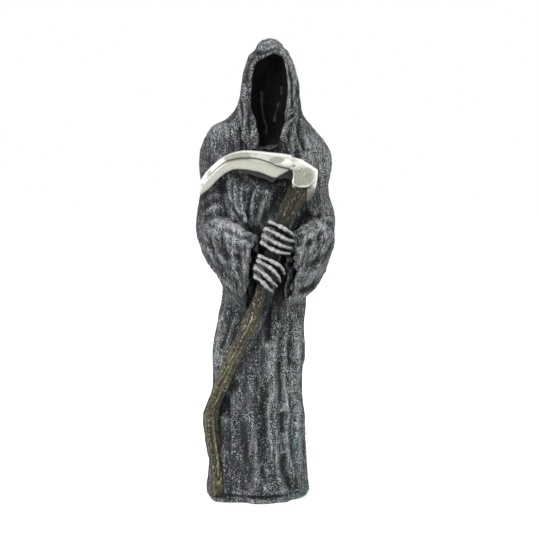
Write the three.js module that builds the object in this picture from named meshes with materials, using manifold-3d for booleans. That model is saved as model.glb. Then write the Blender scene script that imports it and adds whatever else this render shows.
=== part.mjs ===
// A hooded figure with an empty hood, holding a scythe before its chest with two bare-boned
// hands. It is cast in one piece with its low ragged foot. Millimetres, +Z up, front towards -Y.
// The origin is on the flat underside, below the neck.
import * as THREE from "three";
import { mergeVertices } from "three/addons/utils/BufferGeometryUtils.js";
import Module from "manifold-3d";

// Driving dimensions
const HEIGHT = 300;
const FOOT = { thick: 2.7, drawnIn: 1.5 };
const HOOD = { mouth: -45, floor: -5, narrowing: 8 };
const CROWN = { at: [2.4, -10.5, 292.4], half: [8.8, 9.4, 7.2] };
const RIM = { wide: 2, thick: 2.2, outset: 1.7 };
const SNATH = { radius: 5.1, topRadius: 6, bedRadius: 5.4, bedBack: 4.6, bedRight: 3 };
const BONE = { shaft: 1.3, knob: 1.8, tip: 1.2 };
const PLEATS = { count: 13, depth: 1.9, waver: 5, waverDepth: 0.7, sway: 0.35, top: 150, fade: 45 };
const CUFF = { depth: 13, wall: 3 };
const BLADE_SIZE = { thick: 8, edgeThick: 5.6, ridge: 1.1 };

// How finely each form is divided
const ROBE_AROUND = 42;
const ROBE_RINGS = 31;
const SLEEVE_AROUND = 18;
const SLEEVE_RINGS = 13;

// The robe's silhouette: height, left, right, front, back, and how squarely its front is drawn
const ROBE = [
  [1.2, -39, 27.6, -31, 28, 0.94],
  [9, -38.4, 27.4, -30.2, 27.4, 0.94],
  [20, -37.4, 26.8, -29.3, 27, 0.93],
  [45, -35.4, 25.6, -28.2, 26.5, 0.92],
  [75, -34.6, 23, -26.8, 26, 0.92],
  [101, -34, 25.4, -25.2, 25.4, 0.9],
  [113, -31.6, 24.8, -24.4, 25, 0.9],
  [125, -29, 25.8, -24, 24.6, 0.9],
  [142, -27.5, 26.5, -24, 24.5, 0.9],
  [170, -30, 30, -25, 25.5, 0.9],
  [205, -34, 34, -25, 26, 0.9],
  [222, -43, 42.4, -24, 25, 0.95],
  [231, -41.8, 39.4, -23, 23.5, 0.95],
  [239, -37.6, 33.4, -23, 21, 0.9],
  [244, -34, 29.4, -23.4, 19.4, 0.84],
  [247, -27, 26.6, -24, 18.6, 0.78],
  [251, -21.8, 23.8, -24.8, 17.8, 0.72],
  [259, -17.4, 22.2, -25.6, 17.4, 0.66],
  [268, -16, 21, -25.2, 17.6, 0.64],
  [279, -14, 18, -22.8, 16.4, 0.66],
  [286, -11.8, 15.2, -20, 14, 0.7],
  [291.4, -8.2, 12.4, -16.6, 11, 0.78],
  [295.5, -5.4, 9.6, -12.8, 8.4, 0.84],
  [298.4, -2.6, 6.8, -9.2, 5.6, 0.88],
  [HEIGHT, 0.6, 4, -4.8, 1.6, 0.9],
];

// The hood's opening seen from the front, all the way round
const OPENING = [
  [2.6, 231], [-4.6, 230.6], [-6.2, 236], [-7.4, 243], [-8.8, 250], [-10.2, 257], [-10.2, 264],
  [-9.8, 272], [-8.8, 279], [-6.2, 285], [-0.6, 288.8], [5, 290.9], [10, 289.6], [12.6, 285.4],
  [13.8, 279.5], [14.5, 272], [14.5, 264], [13.6, 257], [12.8, 251], [13.2, 246.6], [12.2, 243.2],
  [11.3, 239.6], [10.4, 235.6], [8, 232],
];

// Where the sleeves run from shoulder to cuff, with the half sizes of each section: sideways,
// towards the front or top, and towards the back or bottom. Their hang is how far the
// lower lip of the cuff is drawn aside, forward and down.
const LEFT_SLEEVE = {
  stations: [
    { at: [-20, 2, 240], side: 5, top: 7, below: 7 },
    { at: [-30.6, 1.5, 220], side: 13, top: 16, below: 16 },
    { at: [-32, 0, 198], side: 11.6, top: 17, below: 17 },
    { at: [-33, -5, 177], side: 12.6, top: 17, below: 15 },
    { at: [-27.4, -15, 164], side: 12, top: 21, below: 14 },
    { at: [-18.5, -25, 157], side: 9.5, top: 22, below: 18.4 },
    { at: [-8.8, -32, 155], side: 7.2, top: 20, below: 20 },
  ],
  hang: [-1.5, -2, -9],
};
const RIGHT_SLEEVE = {
  stations: [
    { at: [20, 2, 239], side: 5, top: 7, below: 7 },
    { at: [30.4, 1.5, 220], side: 13, top: 16, below: 16 },
    { at: [31, 0, 197], side: 11, top: 17, below: 17 },
    { at: [32.6, -5, 177], side: 12.4, top: 17, below: 16 },
    { at: [29.5, -16, 163], side: 11.6, top: 20, below: 17 },
    { at: [24, -26, 157], side: 9, top: 21, below: 20 },
    { at: [17.5, -32.5, 155.5], side: 7, top: 20, below: 20 },
  ],
  hang: [-7, -1, -7],
};

// The bent wooden handle, from its top down to the foot
const SNATH_LINE = [
  [23.4, -29.6, 208], [21, -31.2, 203], [15.4, -34, 193], [7, -35, 172], [1.2, -35, 158],
  [-2.8, -34.5, 138], [-9.3, -31, 119], [-21, -25.5, 95], [-31, -18.5, 71], [-36, -14.5, 54],
  [-34.6, -15, 37], [-31.4, -18, 18], [-30.6, -19, 1.4],
];

// The blade from its tip to the socket: its back, the ridge between its two faces, and its edge
const BLADE = [
  [[-43.6, -17, 202.6], [-42.6, -18, 200.8], [-41.9, -18, 199.2]],
  [[-41.5, -21, 210], [-39.4, -22.5, 205.8], [-36.6, -23.4, 203.5]],
  [[-35.5, -25.5, 217.4], [-32.5, -27, 213.6], [-29, -28, 211.2]],
  [[-26.5, -29.3, 224.8], [-23.6, -31, 220.4], [-21.5, -30.6, 215.8]],
  [[-15.5, -31.6, 228.3], [-14.5, -33, 223.5], [-13.5, -32.2, 216.2]],
  [[-4, -33.2, 228], [-4.5, -34.6, 223.3], [-4, -33, 214.4]],
  [[4, -34.2, 227.2], [2.6, -35.4, 221], [3.4, -33.8, 211.6]],
  [[7.5, -34.7, 226.9], [6, -35.8, 219.4], [6.4, -34, 211]],
  [[11, -35.2, 226.5], [10.5, -36.3, 218], [10.2, -34.6, 213.8]],
  [[16.5, -36, 225.6], [16.4, -37, 216.9], [16.4, -35.6, 216.2]],
];

// The block where the blade meets the handle, seen from the front, with its sunk panel
const HEEL = [
  [13.6, 217.4], [14.8, 224.9], [22.8, 222.8], [29.9, 218.4], [33, 216.2], [32.7, 211.3],
  [31.9, 206], [30.7, 201.5], [28.4, 197.5], [26.2, 194.2], [24.8, 196.9], [23.9, 200.5],
  [22.5, 203.1], [19.3, 204.4], [16.7, 205.5], [17.1, 208.6], [17.4, 212.2], [17, 215.3],
];
const HEEL_SIZE = { back: -27, front: -37.8, bevel: 1.1 };
const PANEL = { at: [24.4, 213.4], half: [5.6, 1.2, 6.2] };

// The flesh of the casting below the blade, between its edge and the chest
const WEB = [
  [-19, 215.4], [-12.7, 213.8], [-6.5, 211.8], [-0.3, 210], [4.4, 207.3], [6.9, 209.8],
  [12.2, 210.4], [18, 209.3], [18, 219], [-6, 220], [-19, 219],
];
const WEB_SIZE = { back: -24, front: -30, bevel: 0.8 };

// Each hand: its fingers from where they start, over the knuckle, to where they end, then the
// palm that closes round the handle, and the wrist
const UPPER_HAND = {
  fingers: [
    [[1.7, -37.6, 183.6], [11, -41.2, 179.8], [17.7, -37.8, 174.7]],
    [[-0.8, -37.6, 179.2], [9, -41.8, 174.8], [17.6, -37.8, 170.9]],
    [[-1, -37.6, 174.3], [7.4, -41.8, 169.9], [15.8, -37.8, 166.7]],
    [[-3.4, -37.6, 170.7], [4.6, -41.6, 166], [15.5, -37.8, 163.1]],
  ],
  palm: { at: [6.6, -34.6, 172.8], half: [10.6, 6, 9.6], turn: -0.45 },
  wrist: [[8, -34, 170], [20, -31, 165], [28, -24, 160]],
};
const LOWER_HAND = {
  fingers: [
    [[-5, -37.6, 161.9], [3.7, -41.8, 158.6], [11.9, -37.6, 150]],
    [[-5.9, -37.6, 159], [3, -42, 154.2], [9, -37.6, 145]],
    [[-7.2, -37.6, 154.6], [-0.3, -42, 149.9], [7.1, -37.6, 142.1]],
    [[-7.4, -37.6, 148.7], [-2.1, -41.6, 145.4], [4.2, -37.6, 138.8]],
  ],
  palm: { at: [0.4, -34.6, 151.6], half: [9.2, 6, 9.4], turn: -0.7 },
  wrist: [[-1, -32.6, 152], [-12, -28, 156], [-22, -22, 160]],
};
const WRIST_RADIUS = 4;

// The long folds: two that fall from the hood's rim on to the chest, one beside the handle, and
// the hood's right slope
const FOLDS = [
  {
    line: [
      [-12.6, -19, 270], [-13.6, -22.6, 254], [-10.8, -25, 240], [-8.6, -24.6, 226], [-6, -22, 208],
    ],
    wide: 4.3, thick: 4.6,
  },
  {
    line: [[15.4, -19, 268], [16.4, -22.4, 252], [14.4, -25, 240], [16, -24.6, 228], [22, -21, 212]],
    wide: 4.3, thick: 4.6,
  },
  {
    line: [[-20, -19.5, 219], [-19.5, -23, 206], [-17.5, -24.4, 193], [-11, -26, 180]],
    wide: 6.2, thick: 1.1,
  },
  {
    line: [[5, -14, 297], [9.6, -15.4, 292.8], [13, -17.2, 286.5], [15.6, -19.4, 277], [17.4, -20.6, 266]],
    wide: 2.7, thick: 3,
  },
];

// The foot's outline on the ground, from the middle of its front round to the right
const FOOT_LINE = [
  [-5.2, -34.7], [1.3, -33.4], [9.1, -29.4], [14.3, -27.7], [16, -20.5], [20.8, -16.4],
  [24.6, -11.5], [26.2, -4], [28.2, 4], [29, 14], [27, 24], [18, 28.6], [0, 29.2], [-20, 28.8],
  [-33, 27.4], [-39.4, 20], [-39.8, 9], [-38, -10], [-35.4, -20.6], [-32.6, -27.4],
  [-23.4, -29.6], [-13.6, -29.6], [-9.1, -32.8],
];

const TURN = 2 * Math.PI;
const wasm = await Module();
wasm.setup();

// The smooth value of each column of a table at a height or share that its first column holds
function along(table, at) {
  const last = table.length - 1;
  let i = 0;
  while (i < last - 1 && table[i + 1][0] < at) i += 1;
  const slope = (k, column) => {
    const [a, b] = [table[Math.max(k - 1, 0)], table[Math.min(k + 1, last)]];
    return (b[column] - a[column]) / (b[0] - a[0]);
  };
  const [low, high] = [table[i], table[i + 1]];
  const span = high[0] - low[0];
  const t = THREE.MathUtils.clamp((at - low[0]) / span, 0, 1);
  const [t2, t3] = [t * t, t * t * t];
  return low.slice(1).map((_, k) => {
    const column = k + 1;
    return (2 * t3 - 3 * t2 + 1) * low[column] + (t3 - 2 * t2 + t) * span * slope(i, column)
      + (3 * t2 - 2 * t3) * high[column] + (t3 - t2) * span * slope(i + 1, column);
  });
}

// A power that keeps the sign, for sections between an ellipse and a rectangle
const signedPower = (value, power) => Math.sign(value) * Math.abs(value) ** power;

// A closed geometry as a solid with its faces pointing out
function solid(geometry) {
  const bare = geometry.clone();
  bare.deleteAttribute("normal");
  bare.deleteAttribute("uv");
  const merged = mergeVertices(bare, 1e-4);
  const triVerts = new Uint32Array(merged.index.array);
  const vertProperties = new Float32Array(merged.attributes.position.array);
  const made = new wasm.Manifold(new wasm.Mesh({ numProp: 3, vertProperties, triVerts }));
  if (made.volume() > 0) return made;
  for (let i = 0; i < triVerts.length; i += 3) {
    [triVerts[i + 1], triVerts[i + 2]] = [triVerts[i + 2], triVerts[i + 1]];
  }
  return new wasm.Manifold(new wasm.Mesh({ numProp: 3, vertProperties, triVerts }));
}

// A solid whose rings are placed by share of its length and angle, and closed at both ends
function loft(rings, around, place) {
  const grid = new THREE.SphereGeometry(1, around, rings + 1);
  const spots = grid.attributes.position;
  const middle = (share) => {
    const sum = new THREE.Vector3();
    for (let k = 0; k < around; k += 1) sum.add(place(share, (TURN * k) / around));
    return sum.divideScalar(around);
  };
  const ends = [middle(0), middle(1)];
  for (let i = 0; i < spots.count; i += 1) {
    const row = Math.floor(i / (around + 1));
    const column = (i % (around + 1)) % around;
    const inner = row > 0 && row <= rings;
    const spot = inner ? place((row - 1) / (rings - 1), (TURN * column) / around) : ends[row ? 1 : 0];
    spots.setXYZ(i, spot.x, spot.y, spot.z);
  }
  return solid(grid);
}

const line = (points) => new THREE.CatmullRomCurve3(points.map((p) => new THREE.Vector3(...p)));

// A round bar along a line, with its radius a function of the share of its length
function bar(path, radius, rings, around) {
  const frames = path.computeFrenetFrames(rings - 1, false);
  return loft(rings, around, (share, angle) => {
    const k = Math.round(share * (rings - 1));
    return path.getPointAt(share)
      .addScaledVector(frames.normals[k], radius(share) * Math.cos(angle))
      .addScaledVector(frames.binormals[k], radius(share) * Math.sin(angle));
  });
}

// How far the robe's cloth stands out at an angle and height: pleats, and a slow wavering
function pleats(angle, z) {
  const sway = PLEATS.sway * (Math.sin(z / 36) + 0.5 * Math.sin(z / 23 + 2 * angle));
  const pleat = Math.abs(Math.sin((PLEATS.count * angle) / 2 + sway)) - 0.6;
  const waver = Math.sin(PLEATS.waver * angle + 2 * sway);
  const below = THREE.MathUtils.clamp((PLEATS.top + PLEATS.fade - z) / PLEATS.fade, 0.2, 1);
  const end = THREE.MathUtils.clamp((HEIGHT - z) / 60, 0, 1);
  return below * end * (PLEATS.depth * pleat + PLEATS.waverDepth * waver);
}

// A point of the robe's surface, pushed out by a distance
function robePoint(angle, z, out) {
  const [left, right, front, back, square] = along(ROBE, z);
  const power = Math.sin(angle) < 0 ? square : 0.9;
  return new THREE.Vector3(
    (left + right) / 2 + ((right - left) / 2 + out) * signedPower(Math.cos(angle), power),
    ((Math.sin(angle) < 0 ? -front : back) + out) * signedPower(Math.sin(angle), power),
    z,
  );
}

// How far forward the robe comes at a place seen from the front
function robeFront(x, z) {
  const [left, right, front, , square] = along(ROBE, z);
  const aside = Math.min(1, Math.abs(x - (left + right) / 2) / ((right - left) / 2)) ** (1 / square);
  return front * Math.sqrt(1 - aside * aside) ** square;
}

// Robe, shoulders and hood as one closed column, its rings closer together up at the hood
function robe() {
  const bottom = ROBE[0][0];
  const top = ROBE[ROBE.length - 1][0];
  return loft(ROBE_RINGS, ROBE_AROUND, (share, angle) => {
    const z = bottom + (top - bottom) * (share + 0.3 * share * (1 - share));
    return robePoint(angle, z, pleats(angle, z));
  });
}

// A ring of one sleeve, drawn in by a wall's thickness for the hollow of the cuff
function sleeveRing({ stations, hang }, share, angle, wall) {
  const path = line(stations.map((s) => s.at));
  const table = stations.map((s, i) => [i / (stations.length - 1), s.side, s.top, s.below]);
  const [side, top, below] = along(table, share);
  const tangent = path.getTangent(share);
  const bend = THREE.MathUtils.smoothstep(share, 0.35, 0.85);
  const up = new THREE.Vector3(0, bend - 1, bend).addScaledVector(tangent, -tangent.z * bend).normalize();
  const across = new THREE.Vector3().crossVectors(tangent, up).normalize();
  up.crossVectors(across, tangent).normalize();
  const folds = share * (0.8 * Math.sin(9 * angle + 2 * share) + 0.5 * Math.sin(17 * angle));
  const tall = (Math.sin(angle) > 0 ? top : below) - wall + folds;
  const lip = THREE.MathUtils.smoothstep(share, 0.6, 1) * Math.max(0, -Math.sin(angle)) ** 2;
  return path.getPoint(share)
    .addScaledVector(across, (side - wall + folds) * Math.cos(angle))
    .addScaledVector(up, tall * Math.sin(angle))
    .addScaledVector(new THREE.Vector3(...hang), lip);
}

const sleeve = (shape) =>
  loft(SLEEVE_RINGS, SLEEVE_AROUND, (share, angle) => sleeveRing(shape, share, angle, 0));

// The hollow of a cuff: it starts outside the mouth and narrows towards its inner end
function cuffHollow(shape) {
  const mouth = line(shape.stations.map((s) => s.at)).getTangent(1);
  return loft(3, 14, (share, angle) => {
    const ring = sleeveRing(shape, 1, angle, CUFF.wall + 2 * share);
    return ring.addScaledVector(mouth, 3 - (3 + CUFF.depth) * share);
  });
}

// A point of the hood's opening, drawn in or out by a margin
const opening = new THREE.CatmullRomCurve3(OPENING.map(([x, z]) => new THREE.Vector3(x, 0, z)), true);
function openingPoint(share, margin) {
  const way = opening.getTangent(share);
  return opening.getPoint(share).addScaledVector(new THREE.Vector3(-way.z, 0, way.x), margin);
}

// The empty inside of the hood, from before the face to its rounded inner end
function hoodHollow() {
  return loft(6, 24, (share, angle) => {
    const inward = (share * Math.PI) / 2;
    const spot = openingPoint(angle / TURN, -HOOD.narrowing * (1 - Math.cos(inward)) ** 2);
    return spot.setY(HOOD.mouth + (HOOD.floor - HOOD.mouth) * Math.sin(inward));
  });
}

// The rolled rim round the opening, lying on the hood
function hoodRim() {
  const [tube, ring] = [6, 28];
  const grid = new THREE.TorusGeometry(1, 0.3, tube, ring);
  const spots = grid.attributes.position;
  for (let i = 0; i < spots.count; i += 1) {
    const around = ((i % (ring + 1)) % ring) / ring;
    const section = TURN * (Math.floor(i / (ring + 1)) % tube) / tube;
    const middle = openingPoint(around, RIM.outset);
    const edge = openingPoint(around, RIM.outset + RIM.wide * Math.cos(section));
    const depth = robeFront(middle.x, middle.z) + RIM.thick * Math.sin(section);
    spots.setXYZ(i, edge.x, depth, edge.z);
  }
  return solid(grid);
}

// An egg-shaped solid, turned about the front-to-back axis
function egg({ at, half, turn = 0 }) {
  const ball = new THREE.SphereGeometry(1, 10, 6);
  ball.scale(...half).rotateY(turn).translate(...at);
  return solid(ball);
}

// One of the long folds, wide and flat, thinning to its ends
function fold({ line: points, wide, thick }) {
  const path = line(points);
  return loft(9, 8, (share, angle) => {
    const size = 0.35 + 0.65 * Math.sin(Math.PI * Math.min(share * 1.2 + 0.1, 1));
    return path.getPointAt(share)
      .add(new THREE.Vector3(wide * size * Math.cos(angle), thick * size * Math.sin(angle), 0));
  });
}

// The low ragged ledge that the hem meets
function foot() {
  const outline = new THREE.CatmullRomCurve3(FOOT_LINE.map(([x, y]) => new THREE.Vector3(x, y, 0)), true);
  return loft(3, 40, (share, angle) => {
    const spot = outline.getPoint(angle / TURN);
    const upper = Math.max(0, share - 0.5) * 2;
    return spot.multiplyScalar(1 - (FOOT.drawnIn * upper) / spot.length()).setZ(FOOT.thick * share);
  });
}

// The handle, thicker at its top, and the bed of cloth that joins it to the robe
function snath() {
  const path = line(SNATH_LINE);
  const knots = (share) => 0.35 * Math.sin(share * 34) + 0.25 * Math.sin(share * 61);
  const top = (share) => THREE.MathUtils.smoothstep(0.12 - share, 0, 0.05);
  const radius = (share) => THREE.MathUtils.lerp(SNATH.radius, SNATH.topRadius, top(share));
  return bar(path, (share) => radius(share) + knots(share), 28, 8);
}

function snathBed() {
  const shifted = SNATH_LINE.slice(1).map(([x, y, z], i) => {
    const aside = THREE.MathUtils.clamp(i - 1, 0, SNATH.bedRight);
    return [x + aside, y + SNATH.bedBack, Math.max(z, 2.4)];
  });
  return bar(line(shifted), () => SNATH.bedRadius, 18, 6);
}

// The blade: a band with a thick back, a raised ridge and a thin cutting edge
function blade() {
  const [back, ridge, edge] = [0, 1, 2].map((k) => line(BLADE.map((row) => row[k])));
  const corners = (share) => {
    const [b, r, e] = [back, ridge, edge].map((curve) => curve.getPoint(share));
    const full = THREE.MathUtils.smoothstep(share, -0.1, 0.35);
    const behind = (p, thick) => p.clone().add(new THREE.Vector3(0, thick * full + 1.5, 0));
    const over = b.clone().lerp(r, 0.5);
    const under = r.clone().lerp(e, 0.5);
    r.y -= BLADE_SIZE.ridge * full;
    const rear = [
      behind(e, BLADE_SIZE.edgeThick), behind(r, BLADE_SIZE.thick), behind(b, BLADE_SIZE.thick),
    ];
    return [b, over, r, under, e, ...rear];
  };
  return loft(20, 8, (share, angle) => corners(share)[Math.round((angle / TURN) * 8)]);
}

// A flat block with bevelled edges, drawn from the front
function slab(outline, { back, front, bevel }) {
  const shape = new THREE.Shape(outline.map(([x, z]) => new THREE.Vector2(x, z)));
  const block = new THREE.ExtrudeGeometry(shape, {
    depth: back - front - 2 * bevel, bevelSize: bevel, bevelThickness: bevel, bevelOffset: -bevel,
    bevelSegments: 2,
  });
  return solid(block.rotateX(Math.PI / 2).translate(0, back - bevel, 0));
}

// The block where the blade meets the handle, with its sunk panel
function heel() {
  const { at: [x, z], half } = PANEL;
  return slab(HEEL, HEEL_SIZE).subtract(egg({ at: [x, HEEL_SIZE.front, z], half }));
}

// One finger of two bones, with a knob at its start and at its knuckle
function finger(points) {
  const { shaft, knob, tip } = BONE;
  const thickness = [[0, knob], [0.25, shaft], [0.5, knob], [0.75, shaft], [1, tip]];
  return bar(line(points), (share) => along(thickness, share)[0], 9, 6);
}

// Four fingers over a palm that closes round the handle
function hand({ fingers, palm, wrist }) {
  const core = egg({ ...palm, turn: -palm.turn }).add(bar(line(wrist), () => WRIST_RADIUS, 4, 6));
  return fingers.map(finger).reduce((sum, bones) => sum.add(bones), core);
}

// The casting: what is added, then the hollows, then what lies within them
function statue() {
  const cloth = [robe(), sleeve(LEFT_SLEEVE), sleeve(RIGHT_SLEEVE), foot(), snathBed(), hoodRim(),
    egg(CROWN), ...FOLDS.map(fold)].reduce((sum, piece) => sum.add(piece));
  const hollowed = cloth.subtract(hoodHollow())
    .subtract(cuffHollow(LEFT_SLEEVE)).subtract(cuffHollow(RIGHT_SLEEVE));
  const whole = [snath(), blade(), heel(), slab(WEB, WEB_SIZE), hand(UPPER_HAND), hand(LOWER_HAND)]
    .reduce((sum, piece) => sum.add(piece), hollowed);
  const below = new THREE.BoxGeometry(200, 200, 20).translate(0, 0, -10);
  return whole.subtract(solid(below));
}

// A manifold solid as a drawable geometry
function drawn(made) {
  const { numProp, numVert, vertProperties, triVerts } = made.getMesh();
  const spots = new Float32Array(numVert * 3);
  for (let i = 0; i < numVert; i += 1) {
    spots.set(vertProperties.subarray(i * numProp, i * numProp + 3), i * 3);
  }
  const geometry = new THREE.BufferGeometry();
  geometry.setAttribute("position", new THREE.BufferAttribute(spots, 3));
  geometry.setIndex(new THREE.BufferAttribute(triVerts, 1));
  geometry.computeVertexNormals();
  return geometry;
}

const paintedResin = new THREE.MeshStandardMaterial({ color: 0x3c3f42, roughness: 0.75, metalness: 0 });
const reaper = new THREE.Mesh(drawn(statue()), paintedResin);
reaper.name = "reaper_statue";

const group = new THREE.Group();
group.add(reaper);
export default group;
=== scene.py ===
import math

import bmesh
import bpy
import numpy as np
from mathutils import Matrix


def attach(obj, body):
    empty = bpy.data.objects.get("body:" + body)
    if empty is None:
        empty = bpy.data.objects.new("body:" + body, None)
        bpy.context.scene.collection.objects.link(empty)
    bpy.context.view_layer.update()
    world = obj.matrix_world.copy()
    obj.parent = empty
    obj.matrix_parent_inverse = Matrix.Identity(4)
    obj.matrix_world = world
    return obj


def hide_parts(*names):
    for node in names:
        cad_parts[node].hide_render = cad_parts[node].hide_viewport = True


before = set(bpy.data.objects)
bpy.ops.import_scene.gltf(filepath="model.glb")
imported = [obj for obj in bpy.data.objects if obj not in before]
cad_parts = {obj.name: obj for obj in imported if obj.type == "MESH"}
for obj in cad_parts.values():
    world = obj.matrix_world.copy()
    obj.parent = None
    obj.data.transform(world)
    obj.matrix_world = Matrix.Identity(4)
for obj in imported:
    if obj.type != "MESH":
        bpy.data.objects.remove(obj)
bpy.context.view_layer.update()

MM = 0.001
TINY = 1e-6
TURN = 2 * math.pi

# Robe: height, left, right, front, back, and how squarely its front is drawn
ROBE = [
    (0.4, -39, 27.4, -30.6, 27.8, 0.95),
    (4, -39, 28, -30.8, 27.8, 0.94),
    (10, -38.4, 27.4, -30.2, 27.4, 0.94),
    (20, -37.4, 26.8, -29.3, 27, 0.93),
    (45, -35.4, 25.6, -28.2, 26.5, 0.92),
    (75, -34.6, 23, -26.8, 26, 0.92),
    (101, -34, 25.4, -25.2, 25.4, 0.9),
    (113, -31.6, 24.8, -24.4, 25, 0.9),
    (125, -29, 25.8, -24, 24.6, 0.9),
    (142, -27.5, 26.5, -24, 24.5, 0.9),
    (170, -30, 30, -25, 25.5, 0.9),
    (205, -34, 34, -25, 26, 0.9),
    (222, -43, 42.4, -24, 25, 0.95),
    (231, -41.8, 39.4, -23, 23.5, 0.95),
    (239, -37.6, 33.4, -23, 21, 0.9),
    (244, -34, 29.4, -23.4, 19.4, 0.84),
    (247, -27, 26.6, -24, 18.6, 0.78),
    (251, -21.8, 23.8, -24.8, 17.8, 0.72),
    (259, -17.4, 22.2, -25.6, 17.4, 0.66),
    (268, -16, 21, -25.2, 17.6, 0.64),
    (279, -14, 18, -22.8, 16.4, 0.66),
    (286, -11.8, 15.2, -20, 14, 0.7),
    (289.6, -10.6, 13.4, -18, 12.4, 0.74),
    (291.4, -8.2, 12.4, -16.6, 11, 0.78),
    (295.5, -5.4, 9.6, -12.8, 8.4, 0.84),
    (298.4, -2.6, 6.8, -9.2, 5.6, 0.88),
    (300, 0.6, 4, -4.8, 1.6, 0.9),
]

# The hood's opening seen from the front, all the way round from its lowest point
OPENING = [
    (2.6, 231), (-4.6, 230.6), (-6.2, 236), (-7.4, 243), (-8.8, 250), (-10.2, 257), (-10.2, 264),
    (-9.8, 272), (-8.8, 279), (-6.2, 285), (-0.6, 288.8), (5, 290.9), (10, 289.6), (12.6, 285.4),
    (13.8, 279.5), (14.5, 272), (14.5, 264), (13.6, 257), (12.8, 251), (13.2, 246.6), (12.2, 243.2),
    (11.3, 239.6), (10.4, 235.6), (8, 232),
]
HOOD_FLOOR = -5
HOOD_MOUTH = -45
HOOD_NARROWING = 8

# Sleeves from shoulder to cuff: centre, half width, and half height above and below. HANG is how
# far the lower lip of each cuff is drawn in, forward and down.
HANG = {-1: (-0.8, -2, -10), 1: (-7, -1, -7)}
LEFT_SLEEVE = [
    ((-20, 2, 240), 5, 7, 7),
    ((-30.6, 1.5, 220), 13, 16, 16),
    ((-31.6, 0, 198), 11, 17, 17),
    ((-32.4, -5, 177), 12, 17, 14.4),
    ((-28.4, -15, 164), 12.2, 21, 12),
    ((-18.2, -25, 157), 9.5, 22, 15),
    ((-8.8, -32, 155), 7.2, 20, 20),
]
RIGHT_SLEEVE = [
    ((20, 2, 239), 5, 7, 7),
    ((30.4, 1.5, 220), 13, 16, 16),
    ((30.2, 0, 197), 10.2, 17, 17),
    ((32.6, -5, 177), 12.4, 17, 16),
    ((29.5, -16, 163), 11.6, 20, 17),
    ((24, -26, 157), 9, 21, 20.6),
    ((17.5, -32.5, 155.5), 7, 20, 20),
]
CUFF_WALL = 3
CUFF_DEPTH = 13
CUFF_AHEAD = 3

# Handle of the scythe from top to foot
SNATH = [
    (23.4, -29.6, 208), (21, -31.2, 203), (15.4, -34, 193), (7, -35, 172), (1.2, -35, 158),
    (-3.4, -34.5, 138), (-9.8, -31, 119), (-21, -25.5, 95), (-31, -18.5, 71), (-36, -14.5, 54),
    (-34.6, -15, 37), (-31.4, -18, 18), (-30.6, -19, 1.4),
]
SNATH_RADIUS = 4.7

# Blade from tip to socket: its back, the ridge between its two faces, and its cutting edge
BLADE = [
    ((-43.6, -17, 202.6), (-42.8, -18, 201.2), (-41.9, -18, 199.2)),
    ((-41.5, -21, 210), (-40, -22.5, 207.8), (-36.6, -23.4, 203.5)),
    ((-35.5, -25.5, 217.4), (-33.5, -27, 215.2), (-29, -28, 211.2)),
    ((-26.5, -29.3, 224.8), (-24.8, -31, 221.8), (-21.5, -30.6, 215.8)),
    ((-15.5, -31.6, 228.3), (-14.8, -33, 223.9), (-13.5, -32.2, 216.2)),
    ((-4, -33.2, 228), (-4.5, -34.6, 223.3), (-4, -33, 214.4)),
    ((4, -34.2, 227.2), (2.6, -35.4, 221), (3.4, -33.8, 211.6)),
    ((7.5, -34.7, 226.9), (6, -35.8, 219.4), (6.4, -34, 211)),
    ((11, -35.2, 226.5), (10.5, -36.3, 218), (10.2, -34.6, 213.1)),
    ((16.5, -36, 225.6), (16.4, -37, 216.9), (16.4, -35.6, 216.2)),
]
HEEL = [
    (13.6, 217.4), (14.8, 224.9), (22.8, 222.8), (29.9, 218.4), (33, 216.2), (32.7, 211.3), (31.9, 206),
    (30.7, 201.5), (28.4, 197.5), (26.2, 194.2), (24.8, 196.9), (23.9, 199.9), (22.4, 202), (19.3, 204),
    (16.7, 205.5), (17.1, 208.6), (17.4, 212.2), (17, 215.3),
]
# A sheet of the casting below the blade, between its edge and the chest, painted dark as the shade there
WEB = [
    (-19, 215.4), (-12.7, 213.8), (-6.5, 211.8), (-0.3, 210), (4.4, 207.3), (6.9, 209.8), (12.2, 210.4),
    (18, 209.3), (18, 219), (-6, 220), (-19, 219),
]

# Fingers from where they start, over the knuckle, to where they end
UPPER_FINGERS = [
    [(1.7, -37.6, 183.6), (9.5, -42.2, 180.4), (13.9, -42.2, 178.1), (17.7, -37.8, 174.7)],
    [(-0.8, -37.6, 179.2), (8.1, -42.6, 175.3), (12.1, -42.4, 173), (17.6, -37.8, 170.9)],
    [(-1, -37.6, 174.3), (6.6, -42.6, 170.2), (9.5, -42.4, 168.8), (15.8, -37.8, 166.7)],
    [(-3.4, -37.6, 170.7), (3.7, -42.2, 166.4), (7.3, -42.2, 164.8), (15.5, -37.8, 163.1)],
]
LOWER_FINGERS = [
    [(-5, -37.6, 161.9), (3.7, -42, 158.6), (9.5, -41.2, 155), (11.9, -37.6, 150)],
    [(-5.9, -37.6, 159), (3, -42.4, 154.2), (7.4, -41.6, 149.7), (9, -37.6, 145)],
    [(-7.2, -37.6, 154.6), (-0.3, -42.4, 149.9), (3.7, -41.6, 145.5), (7.1, -37.6, 142.1)],
    [(-7.4, -37.6, 148.7), (-2.1, -41.8, 145.4), (0.9, -41.2, 141.8), (4.2, -37.4, 138.8)],
]
UPPER_PALM = ((6.6, -34.6, 172.8), (10.6, 6, 9.6), 0.45)
LOWER_PALM = ((0.4, -34.6, 151.6), (9.2, 6, 9.4), 0.7)
UPPER_WRIST = [(8, -34, 170), (20, -31, 165), (28, -24, 160)]
LOWER_WRIST = [(-1, -32.6, 152), (-12, -28, 156), (-22, -22, 160)]


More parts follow.
